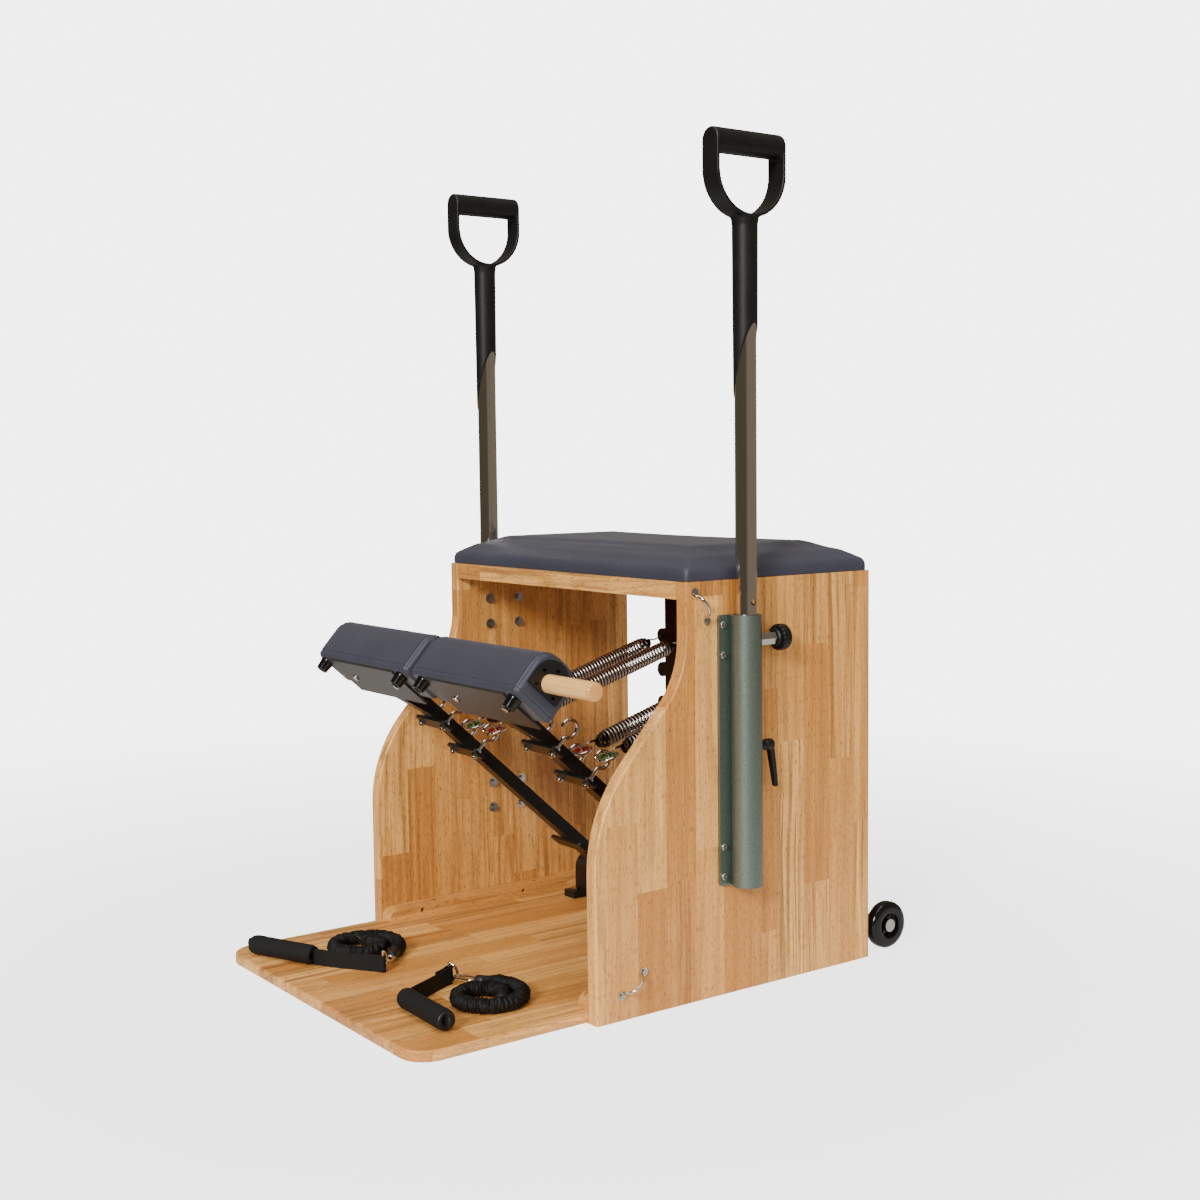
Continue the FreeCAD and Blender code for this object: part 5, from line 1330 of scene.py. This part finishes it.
def clamp_lever(side):
    """One clamping lever with its hub and bolt"""
    low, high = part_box("clamp_lever_" + side)
    x = (low.x + high.x) / 2
    hub_z = high.z - HUB_DROP
    bm = bmesh.new()
    turned(bm, LEVER_HUB, aimed((x, HUB_START, hub_z), (0, 1, 0)), 36)
    arm_start = HUB_END - 0.0095
    made = bmesh.ops.create_cube(bm, size=1.0)["verts"]
    for vert in made:
        tip = vert.co.z < 0
        reach, thick, flare = LEVER_TIP if tip else LEVER_ROOT
        vert.co = Vector((x + math.copysign(reach, vert.co.x),
                          arm_start + flare + (thick if vert.co.y > 0 else 0.0),
                          low.z + 0.0006 if tip else hub_z + 0.002))
    edges = list({edge for vert in made for edge in vert.link_edges})
    eased(bm, edges, LEVER_EASE, 3)
    rod(bm, (x, low.y, hub_z), (x, HUB_START + 0.001, hub_z), 0.004)
    name = "clamp_handle_" + side
    mesh_piece(name, moulded(name, bm, LEVER_VOXEL, 5), "clamp_" + side, "black_plastic",
               ["clamp_lever_" + side], smooth=50)


class CHAIR_OT_knobs(bpy.types.Operator):
    """Fluted pull knobs and clamping levers on the sleeves"""

    bl_idname = "chair.knobs"
    bl_label = "Knobs and levers"

    def execute(self, context):
        for side, _ in SIDES:
            pull_knob(side)
            clamp_lever(side)
        return {"FINISHED"}


def wheel(side, sign):
    """One wheel, its pockets on the outer side"""
    low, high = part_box("wheel_" + side)
    centre = (low + high) / 2
    half, radius = (high.x - low.x) / 2, (high.z - low.z) / 2
    dish = [(wide, half - deep) for wide, deep in WHEEL_DISH]
    outer, inner = [[(wide, half - deep) for wide in (WHEEL_BORE, WHEEL_HUB)] + dish
                    for deep in (HUB_OUTER, HUB_INNER)]
    tyre = []
    for step in range(21):
        angle = math.pi * step / 20
        rise = math.cos(angle)
        tyre.append((TYRE_START + (radius - TYRE_START) * math.sin(angle) ** 0.8,
                     (half - TYRE_TRIM) * math.copysign(abs(rise) ** 0.55, rise)))
    profile = outer + tyre + [(wide, -rise) for wide, rise in reversed(inner)] + [outer[0]]
    bm = bmesh.new()
    place = aimed(centre, (sign, 0, 0))
    turned(bm, profile, place, 60)
    back = place.inverted()
    for step in range(POCKETS):
        window = []
        for plate in bm.faces:
            spot = back @ plate.calc_center_median()
            sector = math.atan2(spot.y, spot.x) % FULL_TURN / FULL_TURN * POCKETS
            if (POCKET_NEAR < spot.xy.length < POCKET_FAR and spot.z > 0 and int(sector) == step
                    and 0.13 < sector - step < 0.87):
                window.append(plate)
        inset(bm, window, 0.0006, -0.0025)
    piece("transport_wheel_" + side, bm, "wheel_" + side, "black_rubber", ["wheel_" + side], smooth=40)


class CHAIR_OT_wheels(bpy.types.Operator):
    """Transport wheels with rounded tyres and pockets round the hub"""

    bl_idname = "chair.wheels"
    bl_label = "Wheels"

    def execute(self, context):
        for side, sign in SIDES:
            wheel(side, sign)
        return {"FINISHED"}


class CHAIR_OT_bumpers(bpy.types.Operator):
    """Tapered rubber bumpers under the pads' front edges"""

    bl_idname = "chair.bumpers"
    bl_label = "Bumpers"

    def execute(self, context):
        for side, sign in SIDES:
            bm = bmesh.new()
            for step in (-1, 1):
                spot = PEDAL @ Vector((sign * ARM_X + step * BUMPER_X, BUMPER_FRONT, 0))
                turned(bm, BUMPER, Matrix.Translation(spot) @ PEDAL_TURN, 36)
            piece("bumper_feet_" + side, bm, "pedal_" + side, "black_rubber", ["pedal_bumpers_" + side],
                  smooth=40)
        return {"FINISHED"}


class CHAIR_OT_dowel(bpy.types.Operator):
    """Lacquered dowel with eased ends"""

    bl_idname = "chair.dowel"
    bl_label = "Dowel"

    def execute(self, context):
        low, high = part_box("dowel")
        spot = PEDAL @ Vector((0, DOWEL_FRONT, DOWEL_RISE))
        bm = bmesh.new()
        rod(bm, (low.x, spot.y, spot.z), (high.x, spot.y, spot.z), DOWEL_RADIUS, 64, 0.0035)
        piece("dowel_rod", bm, "dowel", "dowel_wood", ["dowel"], smooth=50)
        return {"FINISHED"}


OPERATORS = (
    CHAIR_OT_stage, CHAIR_OT_bungee_sets, CHAIR_OT_finishes, CHAIR_OT_seat_cushion, CHAIR_OT_pedal_pads,
    CHAIR_OT_springs, CHAIR_OT_handles, CHAIR_OT_knobs, CHAIR_OT_wheels, CHAIR_OT_bumpers, CHAIR_OT_dowel,
)
GROUPS = (("chair_colours", ChairColours), ("chair_sizes", ChairSizes), ("chair_studio", StudioSettings))


class CHAIR_PT_parts(bpy.types.Panel):
    """Lists the chair's parts and their settings"""

    bl_idname = "CHAIR_PT_parts"
    bl_label = "Pilates chair"
    bl_space_type = "VIEW_3D"
    bl_region_type = "UI"
    bl_category = "Chair"

    def draw(self, context):
        for operator in OPERATORS:
            self.layout.operator(operator.bl_idname)
        for name, group in GROUPS:
            box = self.layout.box()
            for key in group.__annotations__:
                box.prop(getattr(context.scene, name), key)


def register():
    for name, group in GROUPS:
        bpy.utils.register_class(group)
        setattr(bpy.types.Scene, name, bpy.props.PointerProperty(type=group))
    for item in OPERATORS + (CHAIR_PT_parts,):
        bpy.utils.register_class(item)


def unregister():
    for item in reversed(OPERATORS + (CHAIR_PT_parts,)):
        bpy.utils.unregister_class(item)
    for name, group in reversed(GROUPS):
        delattr(bpy.types.Scene, name)
        bpy.utils.unregister_class(group)


def main():
    register()
    for operator in OPERATORS:
        area, action = operator.bl_idname.split(".")
        getattr(getattr(bpy.ops, area), action)()


if __name__ == "__main__":
    main()
